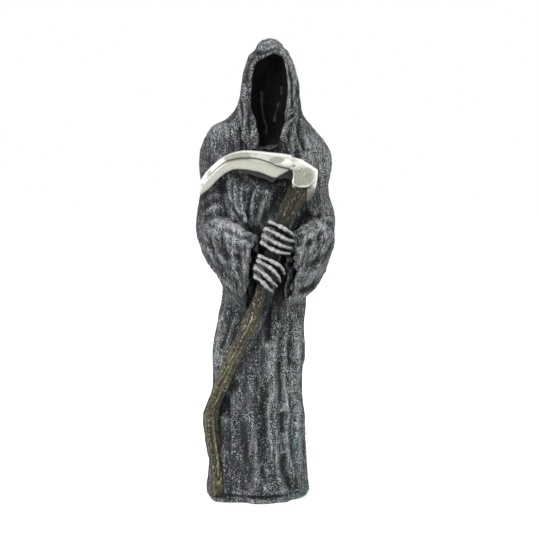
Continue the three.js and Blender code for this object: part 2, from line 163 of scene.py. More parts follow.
def along(table, at):
    """Smooth values of a table's columns where its first column reaches the given values."""
    knots = np.array(table, float)
    x, y = knots[:, 0], knots[:, 1:]
    slopes = np.gradient(y, x, axis=0)
    low = np.clip(np.searchsorted(x, at, side="right") - 1, 0, len(x) - 2)
    span = (x[low + 1] - x[low])[..., None]
    t = np.clip((np.asarray(at)[..., None] - x[low][..., None]) / span, 0, 1)
    return (
        (2 * t**3 - 3 * t**2 + 1) * y[low]
        + (t**3 - 2 * t**2 + t) * span * slopes[low]
        + (3 * t**2 - 2 * t**3) * y[low + 1]
        + (t**3 - t**2) * span * slopes[low + 1]
    )


def numbered(points):
    """A line's points with evenly spaced shares as their first column."""
    return np.column_stack([np.linspace(0, 1, len(points)), points])


def lengths(points):
    """A line's points with the share of its length at each as their first column."""
    points = np.array(points, float)
    steps = np.linalg.norm(np.diff(points, axis=0), axis=1)
    share = np.concatenate([[0], np.cumsum(steps)]) / steps.sum()
    return np.column_stack([share, points])


def walk(points, share):
    """Places and directions along a smooth line at shares of its length."""
    table = lengths(points)
    ahead = along(table, np.clip(share + 0.005, 0, 1))
    behind = along(table, np.clip(share - 0.005, 0, 1))
    way = ahead - behind
    return along(table, share), way / np.linalg.norm(way, axis=-1, keepdims=True)


def unit(v):
    """Directions one long."""
    return v / np.linalg.norm(v, axis=-1, keepdims=True)


def signed_power(value, power):
    return np.sign(value) * np.abs(value) ** power


def smooth_step(value, low, high):
    """0 up to low and 1 from high, and smooth between."""
    t = np.clip((value - low) / (high - low), 0, 1)
    return t * t * (3 - 2 * t)


def column(a, b, c):
    """Places from their three parts, each a number or an array."""
    return np.stack(np.broadcast_arrays(a, b, c), axis=-1).astype(float)


def numbers_of(items, name, width=1, kind=float):
    """One property of all the vertices, edges, faces or corners of a mesh."""
    flat = np.empty(len(items) * width, kind)
    items.foreach_get(name, flat)
    return flat.reshape(-1, width) if width > 1 else flat


def spots_of(mesh):
    """Where the vertices are, in metres."""
    return numbers_of(mesh.vertices, "co", 3)


def set_spots(mesh, spots):
    """Moves the vertices to places in metres."""
    mesh.vertices.foreach_set("co", spots.ravel())
    mesh.update()


def mesh_from(bm, name):
    mesh = bpy.data.meshes.new(name)
    bm.to_mesh(mesh)
    bm.free()
    return mesh


def loft(name, rings, around, place):
    """A closed skin whose rings are placed by share of its length and angle round it."""
    bm = bmesh.new()
    bmesh.ops.create_uvsphere(bm, u_segments=around, v_segments=rings + 1, radius=1)
    mesh = bpy.data.meshes.new(name)
    bm.to_mesh(mesh)
    ball = spots_of(mesh)
    row = np.rint(np.arccos(np.clip(ball[:, 2], -1, 1)) / math.pi * (rings + 1)).astype(int)
    angle = np.arctan2(ball[:, 1], ball[:, 0])
    share = np.clip((row - 1) / (rings - 1), 0, 1)
    placed = place(share, angle)
    ring_angles = np.linspace(0, TURN, around, endpoint=False)
    for end, pole in ((0.0, row == 0), (1.0, row == rings + 1)):
        placed[pole] = place(np.full(around, end), ring_angles).mean(axis=0)
    set_spots(mesh, placed * MM)
    bm.clear()
    bm.from_mesh(mesh)
    bmesh.ops.recalc_face_normals(bm, faces=bm.faces)
    bm.to_mesh(mesh)
    bm.free()
    return mesh


FORWARD = np.array([0.0, -1.0, 0.0])


def bar(name, points, radius, rings=60, around=20):
    """A rod along a line, with a radius that is found from shares and angles."""
    def place(share, angle):
        centre, way = walk(points, share)
        side = unit(np.cross(way, FORWARD))
        over = np.cross(side, way)
        r = radius(share, angle)[..., None]
        return centre + side * r * np.cos(angle)[..., None] + over * r * np.sin(angle)[..., None]

    return loft(name, rings, around, place)


def even(radius):
    """A radius for a bar that stays the same."""
    return lambda share, angle: radius + 0 * share


def ball(name, centre, half, turn=0):
    """An egg with three half sizes, turned as seen from the front."""
    def place(share, angle):
        tilt = math.pi * (share - 0.5)
        x = half[0] * np.cos(tilt) * np.cos(angle)
        y = half[1] * np.cos(tilt) * np.sin(angle)
        z = half[2] * np.sin(tilt)
        aside = x * math.cos(turn) + z * math.sin(turn)
        above = z * math.cos(turn) - x * math.sin(turn)
        return np.array(centre) + column(aside, y, above)

    return loft(name, 30, 40, place)


def hashed(cell, seed):
    """A number from 0 to 1 for each whole-number cell."""
    c = cell.astype(np.int64)
    mixed = c[..., 0] * 73856093 ^ c[..., 1] * 19349663 ^ c[..., 2] * 83492791 ^ seed * 2654435761
    mixed = (mixed ^ (mixed >> 13)) * 1274126177 & 0xFFFFFFFF
    return ((mixed ^ (mixed >> 16)) & 0xFFFFFF) / 0xFFFFFF


def noise(spots, seed):
    """Smooth noise from -1 to 1 with cells one unit wide."""
    base = np.floor(spots)
    t = spots - base
    t = t * t * (3 - 2 * t)
    total = np.zeros(spots.shape[:-1])
    for corner in np.ndindex(2, 2, 2):
        corner = np.array(corner)
        weight = np.prod(np.where(corner, t, 1 - t), axis=-1)
        total += weight * hashed(base + corner, seed)
    return total * 2 - 1


def robe_section(z):
    """The columns of ROBE at given heights."""
    return np.moveaxis(along(ROBE, z), -1, 0)


def robe_front(x, z):
    """How far forward the robe comes at a place seen from the front."""
    left, right, front, _, square = robe_section(z)
    aside = np.minimum(1, np.abs(x - (left + right) / 2) / ((right - left) / 2)) ** (1 / square)
    return front * np.sqrt(1 - aside**2) ** square


def robe_pleats(angle, z):
    """How far the cloth stands out: broad pleats below, narrower ones behind the shoulders."""
    behind = smooth_step(np.sin(angle), -0.35, 0.25)
    drift = 0.5 * noise(column(3 * np.cos(angle), 3 * np.sin(angle), z / 45), 3)
    broad = np.abs(np.sin(7.5 * angle + 1.4 * drift + 0.25 * np.sin(z / 30))) - 0.6
    narrow = np.abs(np.sin(17 * angle + 2.5 * drift)) - 0.6
    low = smooth_step(z, 215, 130)
    high = smooth_step(z, 300, 262)
    amount = (0.35 + 0.65 * behind) * low + 0.5 * behind * (1 - low) * high
    return amount * (1.9 * broad + 0.55 * narrow)


def robe_skin():
    """The cloth from the hem to the top of the hood, without its hollows."""
    bottom, top = ROBE[0][0], ROBE[-1][0]

    def place(share, angle):
        z = bottom + (top - bottom) * share
        left, right, front, back, square = robe_section(z)
        power = np.where(np.sin(angle) < 0, square, 0.9)
        out = robe_pleats(angle, z)
        x = (left + right) / 2 + ((right - left) / 2 + out) * signed_power(np.cos(angle), power)
        depth = np.where(np.sin(angle) < 0, -front, back) + out
        return column(x, depth * signed_power(np.sin(angle), power), z)

    return loft("robe_skin", 250, 170, place)


def sleeve_place(stations, share, angle, wall):
    """A place on a sleeve's skin, or as far inside it as the wall is thick."""
    centre, way = walk([s[0] for s in stations], share)
    sizes = along([(i / (len(stations) - 1), *s[1:]) for i, s in enumerate(stations)], share)
    side, top, below = np.moveaxis(sizes, -1, 0)
    bend = smooth_step(share, 0.35, 0.85)
    zero = np.zeros_like(share)
    up = unit(column(zero, bend - 1, bend) - way * (way[..., 2] * bend)[..., None])
    across = unit(np.cross(way, up))
    up = unit(np.cross(across, way))
    flare = smooth_step(share, 0.3, 1)
    folds = flare * (0.9 * np.sin(9 * angle + 2 * share) + 0.5 * np.sin(17 * angle + 1))
    tall = np.where(np.sin(angle) > 0, top, below) - wall + folds
    lip = smooth_step(share, 0.76, 1) * np.maximum(0, -np.sin(angle)) ** 2
    hang = HANG[int(np.sign(stations[-1][0][0]))]
    return (
        centre
        + across * ((side - wall + folds) * np.cos(angle))[..., None]
        + up * (tall * np.sin(angle))[..., None]
        + lip[..., None] * hang
    )


def sleeve_skin(name, stations):
    return loft(name, 90, 90, lambda share, angle: sleeve_place(stations, share, angle, 0))


def cuff_hollow(name, stations):
    """What is cut out of a sleeve's mouth."""
    out = walk([s[0] for s in stations], np.array([1.0]))[1][0]

    def place(share, angle):
        ring = sleeve_place(stations, np.ones_like(share), angle, CUFF_WALL + 2.5 * share)
        return ring + out * (CUFF_AHEAD - (CUFF_AHEAD + CUFF_DEPTH) * share)[..., None]

    return loft(name, 12, 60, place)


def opening_place(share, margin):
    """A place on the hood's opening seen from the front, drawn out by a margin."""
    closed = np.array([OPENING[-1], *OPENING, OPENING[0], OPENING[1]], float)
    knots = (np.arange(len(closed)) - 1) / len(OPENING)
    table = np.column_stack([knots, closed])
    share = np.mod(share, 1)
    spot = along(table, share)
    way = unit(along(table, share + 0.004) - along(table, share - 0.004))
    return spot + np.stack([-way[..., 1], way[..., 0]], -1) * np.asarray(margin)[..., None]


def hood_hollow():
    """What is cut out of the hood, narrower further in."""
    def place(share, angle):
        inward = share * math.pi / 2
        margin = -HOOD_NARROWING * (1 - np.cos(inward)) ** 2
        spot = opening_place(np.mod(angle, TURN) / TURN, margin)
        y = HOOD_MOUTH + (HOOD_FLOOR - HOOD_MOUTH) * np.sin(inward)
        return column(spot[..., 0], y, spot[..., 1])

    return loft("hood_hollow", 40, 120, place)


def hood_rim():
    """The rolled edge round the opening, lying on the hood."""
    def place(share, angle):
        middle = opening_place(share, np.full_like(share, 1.4))
        wide = 1.4 + 0.8 * smooth_step(middle[..., 0], -4, 9)
        low = np.where(middle[..., 0] > 0, 246, 233)
        size = wide * (0.1 + 0.9 * smooth_step(middle[..., 1] - low, 0, 13))
        edge = opening_place(share, wide - 0.4 + size * np.cos(angle))
        y = robe_front(middle[..., 0], middle[..., 1]) + 1.1 * size * np.sin(angle)
        return column(edge[..., 0], y, edge[..., 1])

    return loft("hood_rim", 240, 20, place)


def fold(name, points, wide, thick):
    """One long fold of cloth, wide and flat, thinning to its ends."""
    def place(share, angle):
        size = 0.3 + 0.7 * np.sin(math.pi * np.clip(share * 1.2 + 0.1, 0, 1))
        centre, _ = walk(points, share)
        across = column(wide * size * np.cos(angle), thick * size * np.sin(angle), 0)
        return centre + across

    return loft(name, 60, 20, place)


# The rounded crown of the hood: centre and half sizes
CROWN = ((2.4, -10.5, 292.4), (8.8, 9.4, 7.2))

# The foot's outline on the ground, from the middle of its front round to the right
FOOT = [
    (-5.2, -34.7), (1.3, -33.4), (9.1, -29.4), (14.3, -27.7), (16, -20.5), (20.8, -16.4),
    (24.6, -11.5), (26.2, -4), (28.2, 4), (29, 14), (27, 24), (18, 28.6), (0, 29.2), (-20, 28.8),
    (-33, 27.4), (-39.4, 20), (-39.8, 9), (-38, -10), (-35.4, -20.6), (-32.6, -27.4),
    (-23.4, -29.6), (-13.6, -29.6), (-9.1, -32.8),
]
FOOT_THICK = 2.7


def foot():
    """The low ragged ledge under the hem."""
    outline = np.array([*FOOT, FOOT[0]], float)
    table = lengths(outline)
    centre = np.array([-5.4, 0])

    def place(share, angle):
        spot = along(table, np.mod(angle, TURN) / TURN)
        ragged = 0.5 * noise(column(spot[..., 0] / 4, spot[..., 1] / 4, 3 * share), 5)
        way = unit(spot - centre)
        drawn_in = np.where(share > 0.8, 1.5 + 0.5 * ragged, 0) - ragged
        spot = spot - way * drawn_in[..., None]
        height = FOOT_THICK * np.clip(share * 1.3, 0, 1) + 0.25 * ragged * share
        return column(spot[..., 0], spot[..., 1], height)

    return loft("foot", 9, 220, place)


BED_RADIUS = 5.3
BED_BEHIND = 4.6
BED_LOW = 2.4


def snath_bed():
    """The cloth that the handle lies on."""
    points = [
        (x + min(3, max(0, i - 1)), y + BED_BEHIND, max(z, BED_LOW))
        for i, (x, y, z) in enumerate(SNATH[1:])
    ]
    return bar("snath_bed", points, even(BED_RADIUS), 90, 16)


# Long folds: the two that fall from the hood's rim, one on the chest, and the hood's right slope
FOLDS = [
    ([(-12.6, -19, 270), (-13.6, -22.6, 254), (-10.8, -25, 240), (-8.6, -24.6, 226),
      (-6, -22, 208)], 4.3, 4.6),
    ([(15.4, -19, 268), (16.4, -22.4, 252), (14.4, -25, 240), (16, -24.6, 228), (22, -21, 212)],
     4.3, 4.6),
    ([(-20, -19.5, 219), (-19.5, -23, 206), (-17.5, -24.4, 193), (-11, -26, 180)], 6.2, 1.1),
    ([(5, -14, 297), (9.6, -15.4, 292.8), (13, -17.2, 286.5), (15.6, -19.4, 277),
      (17.4, -20.6, 266)], 2.7, 3),
]

# Carved folds seen from the front: height (minus is a groove), width, and the line they follow
SKIRT = [
    (1.3, 3.6, [(4, 116), (4, 100), (4.5, 80), (5, 55), (5.5, 35), (5, 18)]),
    (-1.2, 2.8, [(0, 84), (-0.5, 64), (-1.5, 42), (-1, 24)]),
    (-1.2, 3, [(9.5, 96), (9.5, 78), (9.8, 64)]),
    (1.2, 3.4, [(20.5, 120), (20, 96), (20.5, 70), (21.5, 46)]),
    (1.1, 3, [(-9, 84), (-9.5, 64), (-9, 44)]),
    (-2.2, 2.4, [(1, 131), (1.5, 121), (2, 112.5), (1.5, 104)]),
    (-2, 3.6, [(-19, 80.5), (-24.5, 72), (-27.5, 63), (-29, 54)]),
    (-2, 3.2, [(-28, 70), (-26.5, 56), (-25, 32.5)]),
    (-0.9, 1.8, [(-3, 77.5), (-2.5, 69), (-3, 57)]),
    (-1.1, 2.4, [(-13, 55), (-14.5, 45.5), (-13.5, 36), (-13, 23.5)]),
    (-1.4, 1.9, [(10.5, 59.5), (10.5, 45)]),
    (-1.5, 2.4, [(11, 32.5), (11.5, 23.5), (14.5, 15), (18, 7)]),
    (-1, 1.8, [(-2.5, 25), (-1, 12)]),
    (-0.9, 2, [(15.5, 106), (15.5, 94.5), (17.5, 86.5)]),
    (-1, 2, [(-22, 128), (-23, 118.5), (-26, 108.5), (-28.5, 98)]),
    (0.9, 1.6, [(3, 99.5), (1.5, 89.5), (4, 80.5), (4.5, 72), (1.5, 66), (1, 57.5)]),
    (0.9, 1.6, [(11.5, 110), (12, 97), (11.5, 83.5), (13, 72), (12.5, 57.5)]),
    (0.8, 1.8, [(17, 124.5), (19.5, 114.5), (18.5, 104), (20, 92.5)]),
    (0.8, 1.5, [(22.5, 107), (23.5, 95), (22.5, 86.5)]),
    (0.8, 1.5, [(7.5, 119.5), (6.5, 108.5), (4.5, 104)]),
    (0.9, 1.5, [(-19, 121), (-22, 114), (-25, 104), (-27, 97)]),
    (0.9, 1.8, [(-29, 127), (-29, 115.5), (-31, 98), (-32, 86.5)]),
    (1, 2, [(-17, 66.5), (-20.5, 56), (-21.5, 41), (-20.5, 28)]),
    (1.1, 2.4, [(-7.5, 53), (-7.5, 38.5), (-6.5, 25), (-7, 12), (-8, 4.5)]),
    (1, 1.4, [(1.5, 66), (1, 56), (2, 45.5), (2, 37.5)]),
    (0.9, 1.3, [(5, 63), (5, 53), (6.5, 43)]),
    (1, 1.6, [(12.5, 68), (14, 56), (12.5, 44.5), (13.5, 35.5), (15.5, 24), (17.5, 15)]),
    (1, 1.5, [(6.5, 36), (7, 24), (8.5, 15), (11.5, 5)]),
    (0.8, 1.4, [(-2, 17.5), (0, 6)]),
    (0.8, 1.5, [(19.5, 69), (20, 50.5), (21.5, 32.5), (23, 15)]),
    (0.8, 1.5, [(23.5, 62), (24, 44.5), (26, 21)]),
]
LEFT_ARM = [
    (1.2, 2.2, [(-30.5, 182.5), (-19.5, 178.5), (-14, 174), (-11, 167.5)]),
    (1.1, 1.8, [(-33.5, 180), (-33, 171), (-29.5, 161.5), (-24, 152.5)]),
    (1, 1.7, [(-39, 177.5), (-37.5, 168.5), (-33.5, 160), (-28.5, 150.5)]),
    (1.1, 1.7, [(-25.5, 177.5), (-23.5, 168.5), (-21, 160), (-18.5, 150.5), (-17, 141.5)]),
    (1.2, 1.6, [(-18.5, 174.5), (-20, 167.5), (-19, 156), (-15.5, 145), (-13, 135.5)]),
    (1, 1.6, [(-11, 168.5), (-13, 160), (-12.5, 150.5), (-11, 141.5), (-10, 134)]),
    (1, 1.7, [(-41.5, 185), (-36, 190), (-28.5, 192.5)]),
    (0.9, 1.7, [(-41.5, 192.5), (-36.5, 198), (-30, 201)]),
    (-1.1, 1.5, [(-17, 170), (-17, 161.5), (-16, 152.5)]),
    (-1, 1.5, [(-29.5, 177.5), (-27.5, 168.5), (-25, 160), (-22, 151)]),
    (-1, 1.5, [(-36, 177.5), (-35, 168.5), (-31.5, 160), (-27, 150.5)]),
    (-1.3, 1.8, [(-39.5, 183.5), (-33, 187), (-24, 186.5)]),
    (-1, 1.8, [(-41, 189.5), (-34.5, 195), (-28, 196.5)]),
]
RIGHT_ARM = [
    (1.2, 1.8, [(25.5, 182), (30.5, 174.5), (29.5, 167.5), (25, 156), (19, 145), (15.5, 135.5)]),
    (1.1, 1.8, [(29.5, 185), (37, 177.5), (38, 168.5), (34.5, 158.5), (28, 146.5), (23, 139)]),
    (1, 1.8, [(36.5, 182), (42.5, 174.5), (42.5, 166), (38.5, 155.5), (31.5, 146.5)]),
    (1.2, 1.9, [(22, 182), (24.5, 174.5), (23, 167.5), (20.5, 160), (17.5, 152.5), (15.5, 145)]),
    (1, 1.3, [(14, 157.5), (17.5, 160.5), (22, 160.5)]),
    (-1.4, 1.7, [(27.5, 172.5), (27.5, 163.5), (25, 154), (20.5, 145)]),
    (-1, 1.6, [(33, 174.5), (34, 166), (30, 154.5), (25, 146)]),
    (-1, 1.7, [(36, 185.5), (42, 179), (43.5, 174.5)]),
    (-1.3, 2.2, [(24.5, 189.5), (30, 185.5), (36, 187)]),
]
CHEST = [
    (0.8, 3, [(-18.5, 212), (-20, 202.5), (-18.5, 192), (-14, 181.5)]),
    (1.1, 3, [(-25.5, 203), (-25.5, 198), (-24, 191), (-19, 183)]),
    (1, 0.9, [(-14.5, 209), (-16, 200), (-15, 191), (-12, 182)]),
    (1, 2, [(-11.5, 206.5), (-12.5, 198), (-13, 189)]),
    (0.8, 1.5, [(-5, 204), (-9, 196.5), (-9, 187.5), (-7.5, 179.5)]),
    (0.8, 1.6, [(1, 204), (-0.5, 196.5), (-3.5, 189), (-4.5, 183)]),
    (-1.6, 1.3, [(-7.5, 206.5), (-10, 198), (-11.5, 189), (-10, 181)]),
    (-1, 0.9, [(-20.6, 210), (-21.6, 201), (-20, 191), (-15.5, 182.5)]),
    (-0.9, 1.6, [(-2, 201), (-5, 192), (-5, 184.5)]),
    (-1.8, 3, [(9.5, 206.5), (7.5, 198), (3, 189), (-3.5, 181.5)]),
    (-0.8, 1.6, [(-15.5, 181.5), (-11, 177.5), (-7.5, 173.5)]),
]
COWL = [
    (-1.4, 1, [(-7.4, 289), (-9.5, 286.4), (-10.8, 282.3), (-11.4, 276.6), (-11.8, 271)]),
    (-1.6, 1, [(10.4, 289.8), (12.8, 286), (14.8, 280.2), (16.2, 273.1), (16.9, 265.4), (16.8, 258.3),
               (16.1, 252)]),
    (1.2, 1.2, [(12.6, 289.5), (14, 287), (15, 284.5), (16.8, 280.2), (18.2, 274.6), (19.1, 268.2),
                (19.7, 258)]),
    (0.8, 1.4, [(-13.1, 281.6), (-13.6, 275.3), (-13.4, 268.2), (-13.8, 262.5)]),
    (1.4, 1, [(-14.2, 262), (-13.2, 254.1), (-13.3, 244.2), (-13.3, 237.1), (-13.3, 228)]),
    (1.2, 0.9, [(-9.4, 256.2), (-8.2, 250.5), (-7.2, 242.8), (-6.8, 237.1), (-6.2, 228)]),
    (-1.6, 1.1, [(-15.6, 261), (-15.2, 251.2), (-15.2, 241.3), (-15.4, 228)]),
    (-0.8, 1.1, [(-10.9, 253), (-10.2, 244.2), (-9.9, 237.1), (-9.7, 230)]),
    (1.5, 0.9, [(17.2, 248.6), (14.6, 245.6), (12.9, 242), (12, 238), (11.2, 234), (12.4, 227)]),
    (-1.4, 0.8, [(17.4, 251.4), (15, 248.8), (13.2, 247.6)]),
    (-1.3, 1.2, [(14.8, 241), (14.4, 235.3), (15.6, 230), (18, 226)]),
    (0.9, 1.3, [(17.1, 248), (18.2, 239.9), (19.3, 235), (22.1, 228.6)]),
    (0.9, 1.5, [(22.1, 252), (22.8, 244.1), (24.6, 237), (28, 229)]),
    (-1, 1.4, [(20, 248), (20.6, 240), (22.4, 234), (26, 227)]),
    (-2.6, 4.4, [(2.6, 242), (2.6, 234), (2.6, 226), (2.6, 212)]),
    (-1.1, 1.4, [(-6, 290.5), (-2, 289.8), (2, 291), (6, 292)]),
]
# How strongly each set of folds is carved
CARVED = [(1.7, SKIRT), (1.05, LEFT_ARM), (1.15, RIGHT_ARM), (1.15, CHEST), (1.6, COWL)]
# The lip along the top of the foot's ledge, and the groove over it
LEDGE = [
    (0.7, 0.7, [(-33, 3.6), (-22, 3.2), (-12, 2.9), (-5, 2.6), (3, 2.6), (9, 2.9), (14, 3)]),
    (-0.8, 0.8, [(-33, 5.4), (-22, 5), (-12, 4.7), (-3, 4.6), (6, 4.8), (14, 5.2), (22, 6)]),
]
# The two soft folds of the veil inside the hood
VEIL = [
    (1.9, 1.5, [(-2.8, 267.6), (-2.7, 259.7), (-2.4, 252.6), (-1.2, 247.2), (-0.2, 244), (0.1, 236)]),
    (1.7, 2, [(9, 260.4), (7.7, 254.4), (6.3, 249), (5.5, 244.7)]),
    (1.2, 0.9, [(10.6, 270), (10.7, 263)]),
]


STROKE_SAMPLES = 60
STROKE_REACH = 3


def carved(spots, strokes):
    """How far each place stands out for the strokes that pass it."""
    out = np.zeros(len(spots))
    flat = spots[:, [0, 2]]
    for height, width, points in strokes:
        line = along(lengths(points), np.linspace(0, 1, STROKE_SAMPLES))
        reach = STROKE_REACH * width
        low, high = line.min(axis=0) - reach, line.max(axis=0) + reach
        near = np.flatnonzero(np.all((flat > low) & (flat < high), axis=1))
        apart = np.linalg.norm(flat[near, None] - line[None], axis=2)
        share = apart.argmin(axis=1) / (STROKE_SAMPLES - 1)
        taper = np.clip(np.minimum(share, 1 - share) * 5, 0, 1) ** 0.7
        out[near] += height * taper * np.exp(-((apart.min(axis=1) / width) ** 2))
    return out


def object_of(data):
    """An object in the scene for a mesh, a lamp or a camera."""
    piece = bpy.data.objects.new(data.name, data)
    bpy.context.collection.objects.link(piece)
    return piece


def settled(piece):
    """Applies a piece's modifiers to its mesh."""
    graph = bpy.context.evaluated_depsgraph_get()
    piece.data = bpy.data.meshes.new_from_object(piece.evaluated_get(graph))
    piece.modifiers.clear()
    return piece


def gathered(name, meshes):
    """One piece with all the meshes in it, not yet joined."""
    bm = bmesh.new()
    for mesh in meshes:
        bm.from_mesh(mesh)
    return object_of(mesh_from(bm, name))


def skinned(piece, voxel):
    """An even skin over everything in the piece."""
    skin = piece.modifiers.new("skin", "REMESH")
    skin.mode = "VOXEL"
    skin.voxel_size = voxel * MM
    return settled(piece)


def combined(piece, other, operation):
    """Adds another piece to a piece, or cuts it out, and removes it."""
    cut = piece.modifiers.new("cut", "BOOLEAN")
    cut.operation = operation
    cut.object = other
    cut.solver = "MANIFOLD"
    settled(piece)
    bpy.data.objects.remove(other)
    return piece


def thinned(piece, triangles):
    """Fewer faces where the skin is flat."""
    count = sum(len(face.vertices) - 2 for face in piece.data.polygons)
    fewer = piece.modifiers.new("fewer", "DECIMATE")
    fewer.ratio = min(1, triangles / count)
    fewer.use_collapse_triangulate = True
    return settled(piece)


def normals_of(mesh):
    return numbers_of(mesh.vertex_normals, "vector", 3)


def neighbours_of(mesh):
    """The two ends of each edge."""
    return numbers_of(mesh.edges, "vertices", 2, np.int64)


def smoothed(values, edges, rounds):
    """Each value drawn towards the mean of its neighbours'."""
    count = len(values)
    flat = values.reshape(count, -1)
    a, b = edges[:, 0], edges[:, 1]
    amount = np.bincount(a, minlength=count) + np.bincount(b, minlength=count)
    for _ in range(rounds):
        total = [
            np.bincount(a, flat[b, k], count) + np.bincount(b, flat[a, k], count)
            for k in range(flat.shape[1])
        ]
        flat = 0.4 * flat + 0.6 * np.stack(total, axis=1) / np.maximum(amount, 1)[:, None]
    return flat.reshape(values.shape)


def stand_out(mesh, rounds):
    """How far each place stands above the smoothed skin round it, in millimetres."""
    spots = spots_of(mesh) / MM
    calm = smoothed(spots, neighbours_of(mesh), rounds)
    return np.einsum("ij,ij->i", spots - calm, normals_of(mesh))


def pushed(mesh, out):
    """Moves each place along its normal, in millimetres."""
    set_spots(mesh, spots_of(mesh) + normals_of(mesh) * (out * MM)[:, None])


def mark(mesh, name, values):
    """Writes a number or a vector for each vertex, for the paints to read."""
    kind = "FLOAT" if values.ndim == 1 else "FLOAT_VECTOR"
    layer = mesh.attributes.new(name, kind, "POINT")
    layer.data.foreach_set("value" if kind == "FLOAT" else "vector", values.ravel().astype(np.float32))


# Where the streaks of the left and right sleeve would meet, and how far above it they hang
SWEEP_MIDDLES = (-13, 5)
SWEEP_LOW = 96
SWEEP_FAR = 66


def grain_of(spots):
    """Coordinates for the bark-like grain: across it, into the cloth, and along it."""
    x, y, z = spots.T
    arms = (z < 186) & (z > 128) & (np.hypot(np.abs(x) - 21, (y + 22) / 1.2) < 30) & (y < 14)
    aside = x - np.where(x < 3, *SWEEP_MIDDLES)
    above = z - SWEEP_LOW
    swept = np.column_stack([np.arctan2(aside, above) * SWEEP_FAR, y, np.hypot(aside, above)])
    return np.where((arms & (np.abs(x) > 8))[:, None], swept, spots)


def streaky(spots):
    """How far the cloth is combed rather than stippled: the sleeves, then the chest and hood."""
    x, _, z = spots.T
    arms = smooth_step(z, 126, 138) * smooth_step(z, 200, 184)
    upper = 0.55 * smooth_step(z, 184, 200) * (0.6 + 0.4 * smooth_step(x, -6, 12))
    return np.maximum(arms, upper)


def inside_hood(spots):
    """Which places lie in the hollow of the hood."""
    x, y, z = spots.T
    return (z > 231) & (np.abs(x - 2) < 14.5) & (y > robe_front(x, z) + 2.4) & (y < 2)


# How fine each skin is, in millimetres, and how many triangles are kept of it
JOINED_VOXEL = 0.8
ROBE_VOXEL = 0.62
BLADE_VOXEL = 0.36
HAND_VOXEL = 0.28
ROBE_TRIANGLES = 130000
BLADE_TRIANGLES = 17000
SNATH_TRIANGLES = 26000
HAND_TRIANGLES = 13000


def robe():
    """Robe, hood, sleeves and foot with their hollows, carved folds and bark-like grain."""
    sleeves = {"left": LEFT_SLEEVE, "right": RIGHT_SLEEVE}
    cloth = [robe_skin(), *(sleeve_skin(side + "_sleeve", sleeves[side]) for side in sleeves)]
    cloth += [hood_rim(), ball("crown", *CROWN), foot(), snath_bed()]
    cloth += [fold(f"fold_{i}", *shape) for i, shape in enumerate(FOLDS)]
    piece = skinned(gathered("robe", cloth), JOINED_VOXEL)
    hollows = [hood_hollow(), *(cuff_hollow(side + "_cuff", sleeves[side]) for side in sleeves)]
    piece = combined(piece, gathered("hollows", hollows), "DIFFERENCE")
    piece = skinned(piece, ROBE_VOXEL)
    mesh = piece.data
    facing = normals_of(mesh)
    calm = smoothed(spots_of(mesh) / MM, neighbours_of(mesh), 3)
    set_spots(mesh, calm * MM)
    hidden = inside_hood(calm)
    low = smooth_step(calm[:, 2], 0.4, 4)
    ahead = smooth_step(-facing[:, 1], -0.1, 0.35)
    out = sum(depth * carved(calm, strokes) for depth, strokes in CARVED)
    out *= ahead * ~hidden * (calm[:, 1] < 0) * low
    out += carved(calm, LEDGE) * ahead
    out += carved(calm, VEIL) * hidden * smooth_step(-facing[:, 1], 0.1, 0.5)
    grain = grain_of(calm)
    bark = 1 - 2 * np.abs(noise(grain / (2.6, 2.6, 11), 11))
    threads = 1 - 2 * np.abs(noise(grain / (1.5, 1.5, 9), 13))
    lumps = noise(calm / (7, 7, 16), 12)
    relief = 0.42 * bark + 0.35 * lumps + 0.3 * streaky(calm) * threads
    pushed(mesh, out + relief * low * np.where(hidden, 0.25, 1))
    return thinned(piece, ROBE_TRIANGLES)


# Details cut into the blade and its socket: the raised U round the sunk panel, dents and a pit
BLADE_CARVED = [
    (1.2, 0.7, [(17.3, 216), (17.5, 211), (17.9, 207.6), (20.4, 206.2), (23.4, 206), (26.4, 206.4),
                (28.8, 207.8), (30.6, 210.6), (31.9, 214), (32.6, 216.2)]),
    (-0.9, 3.4, [(21.6, 217.4), (22.2, 213.5), (24, 211.6), (26.4, 212.4), (28, 216)]),
    (0.35, 0.5, [(19.8, 214.8), (24, 213.8), (28.6, 214.8)]),
    (0.3, 0.5, [(20.4, 210.6), (24.5, 209.6), (28, 211)]),
    (0.5, 0.6, [(14.6, 216.9), (17.3, 217), (19.4, 215.8), (21.1, 216.7), (20.6, 218.4), (18.8, 219.9),
                 (16.6, 220)]),
    (-0.9, 0.6, [(16.8, 218.6), (18.8, 218.8)]),
    (-0.5, 1.6, [(4.2, 222.8), (8.6, 222), (13.9, 222)]),
    (-0.7, 0.6, [(17.6, 204.9), (22.8, 204.5), (28.4, 204)]),
]
BLADE_THICK = 8
EDGE_THICK = 5.6
HEEL_BACK = -27
HEEL_FRONT = -37.8
# The outer edge of the socket, where the blade's back runs on
HEEL_RIM = [(22.8, -37, 222.4), (29.6, -37, 218.2), (32.4, -37, 216), (32.2, -37, 211), (31.2, -37, 206)]
WEB_BACK = -24
WEB_FRONT = -30
# The section of the blade, from its back to the ridge and on to the edge: share of the way, and
# how far forward of it. REAR moves the rear corners back a little.
UPPER_FACE = [(0, -1.6), (0.1, 0.2), (0.4, 1.1), (0.9, 1.3)]
BEVEL = [(0, 0.7), (0.06, -0.5), (0.5, 0.1)]
REAR = [0, 1.5, 0]


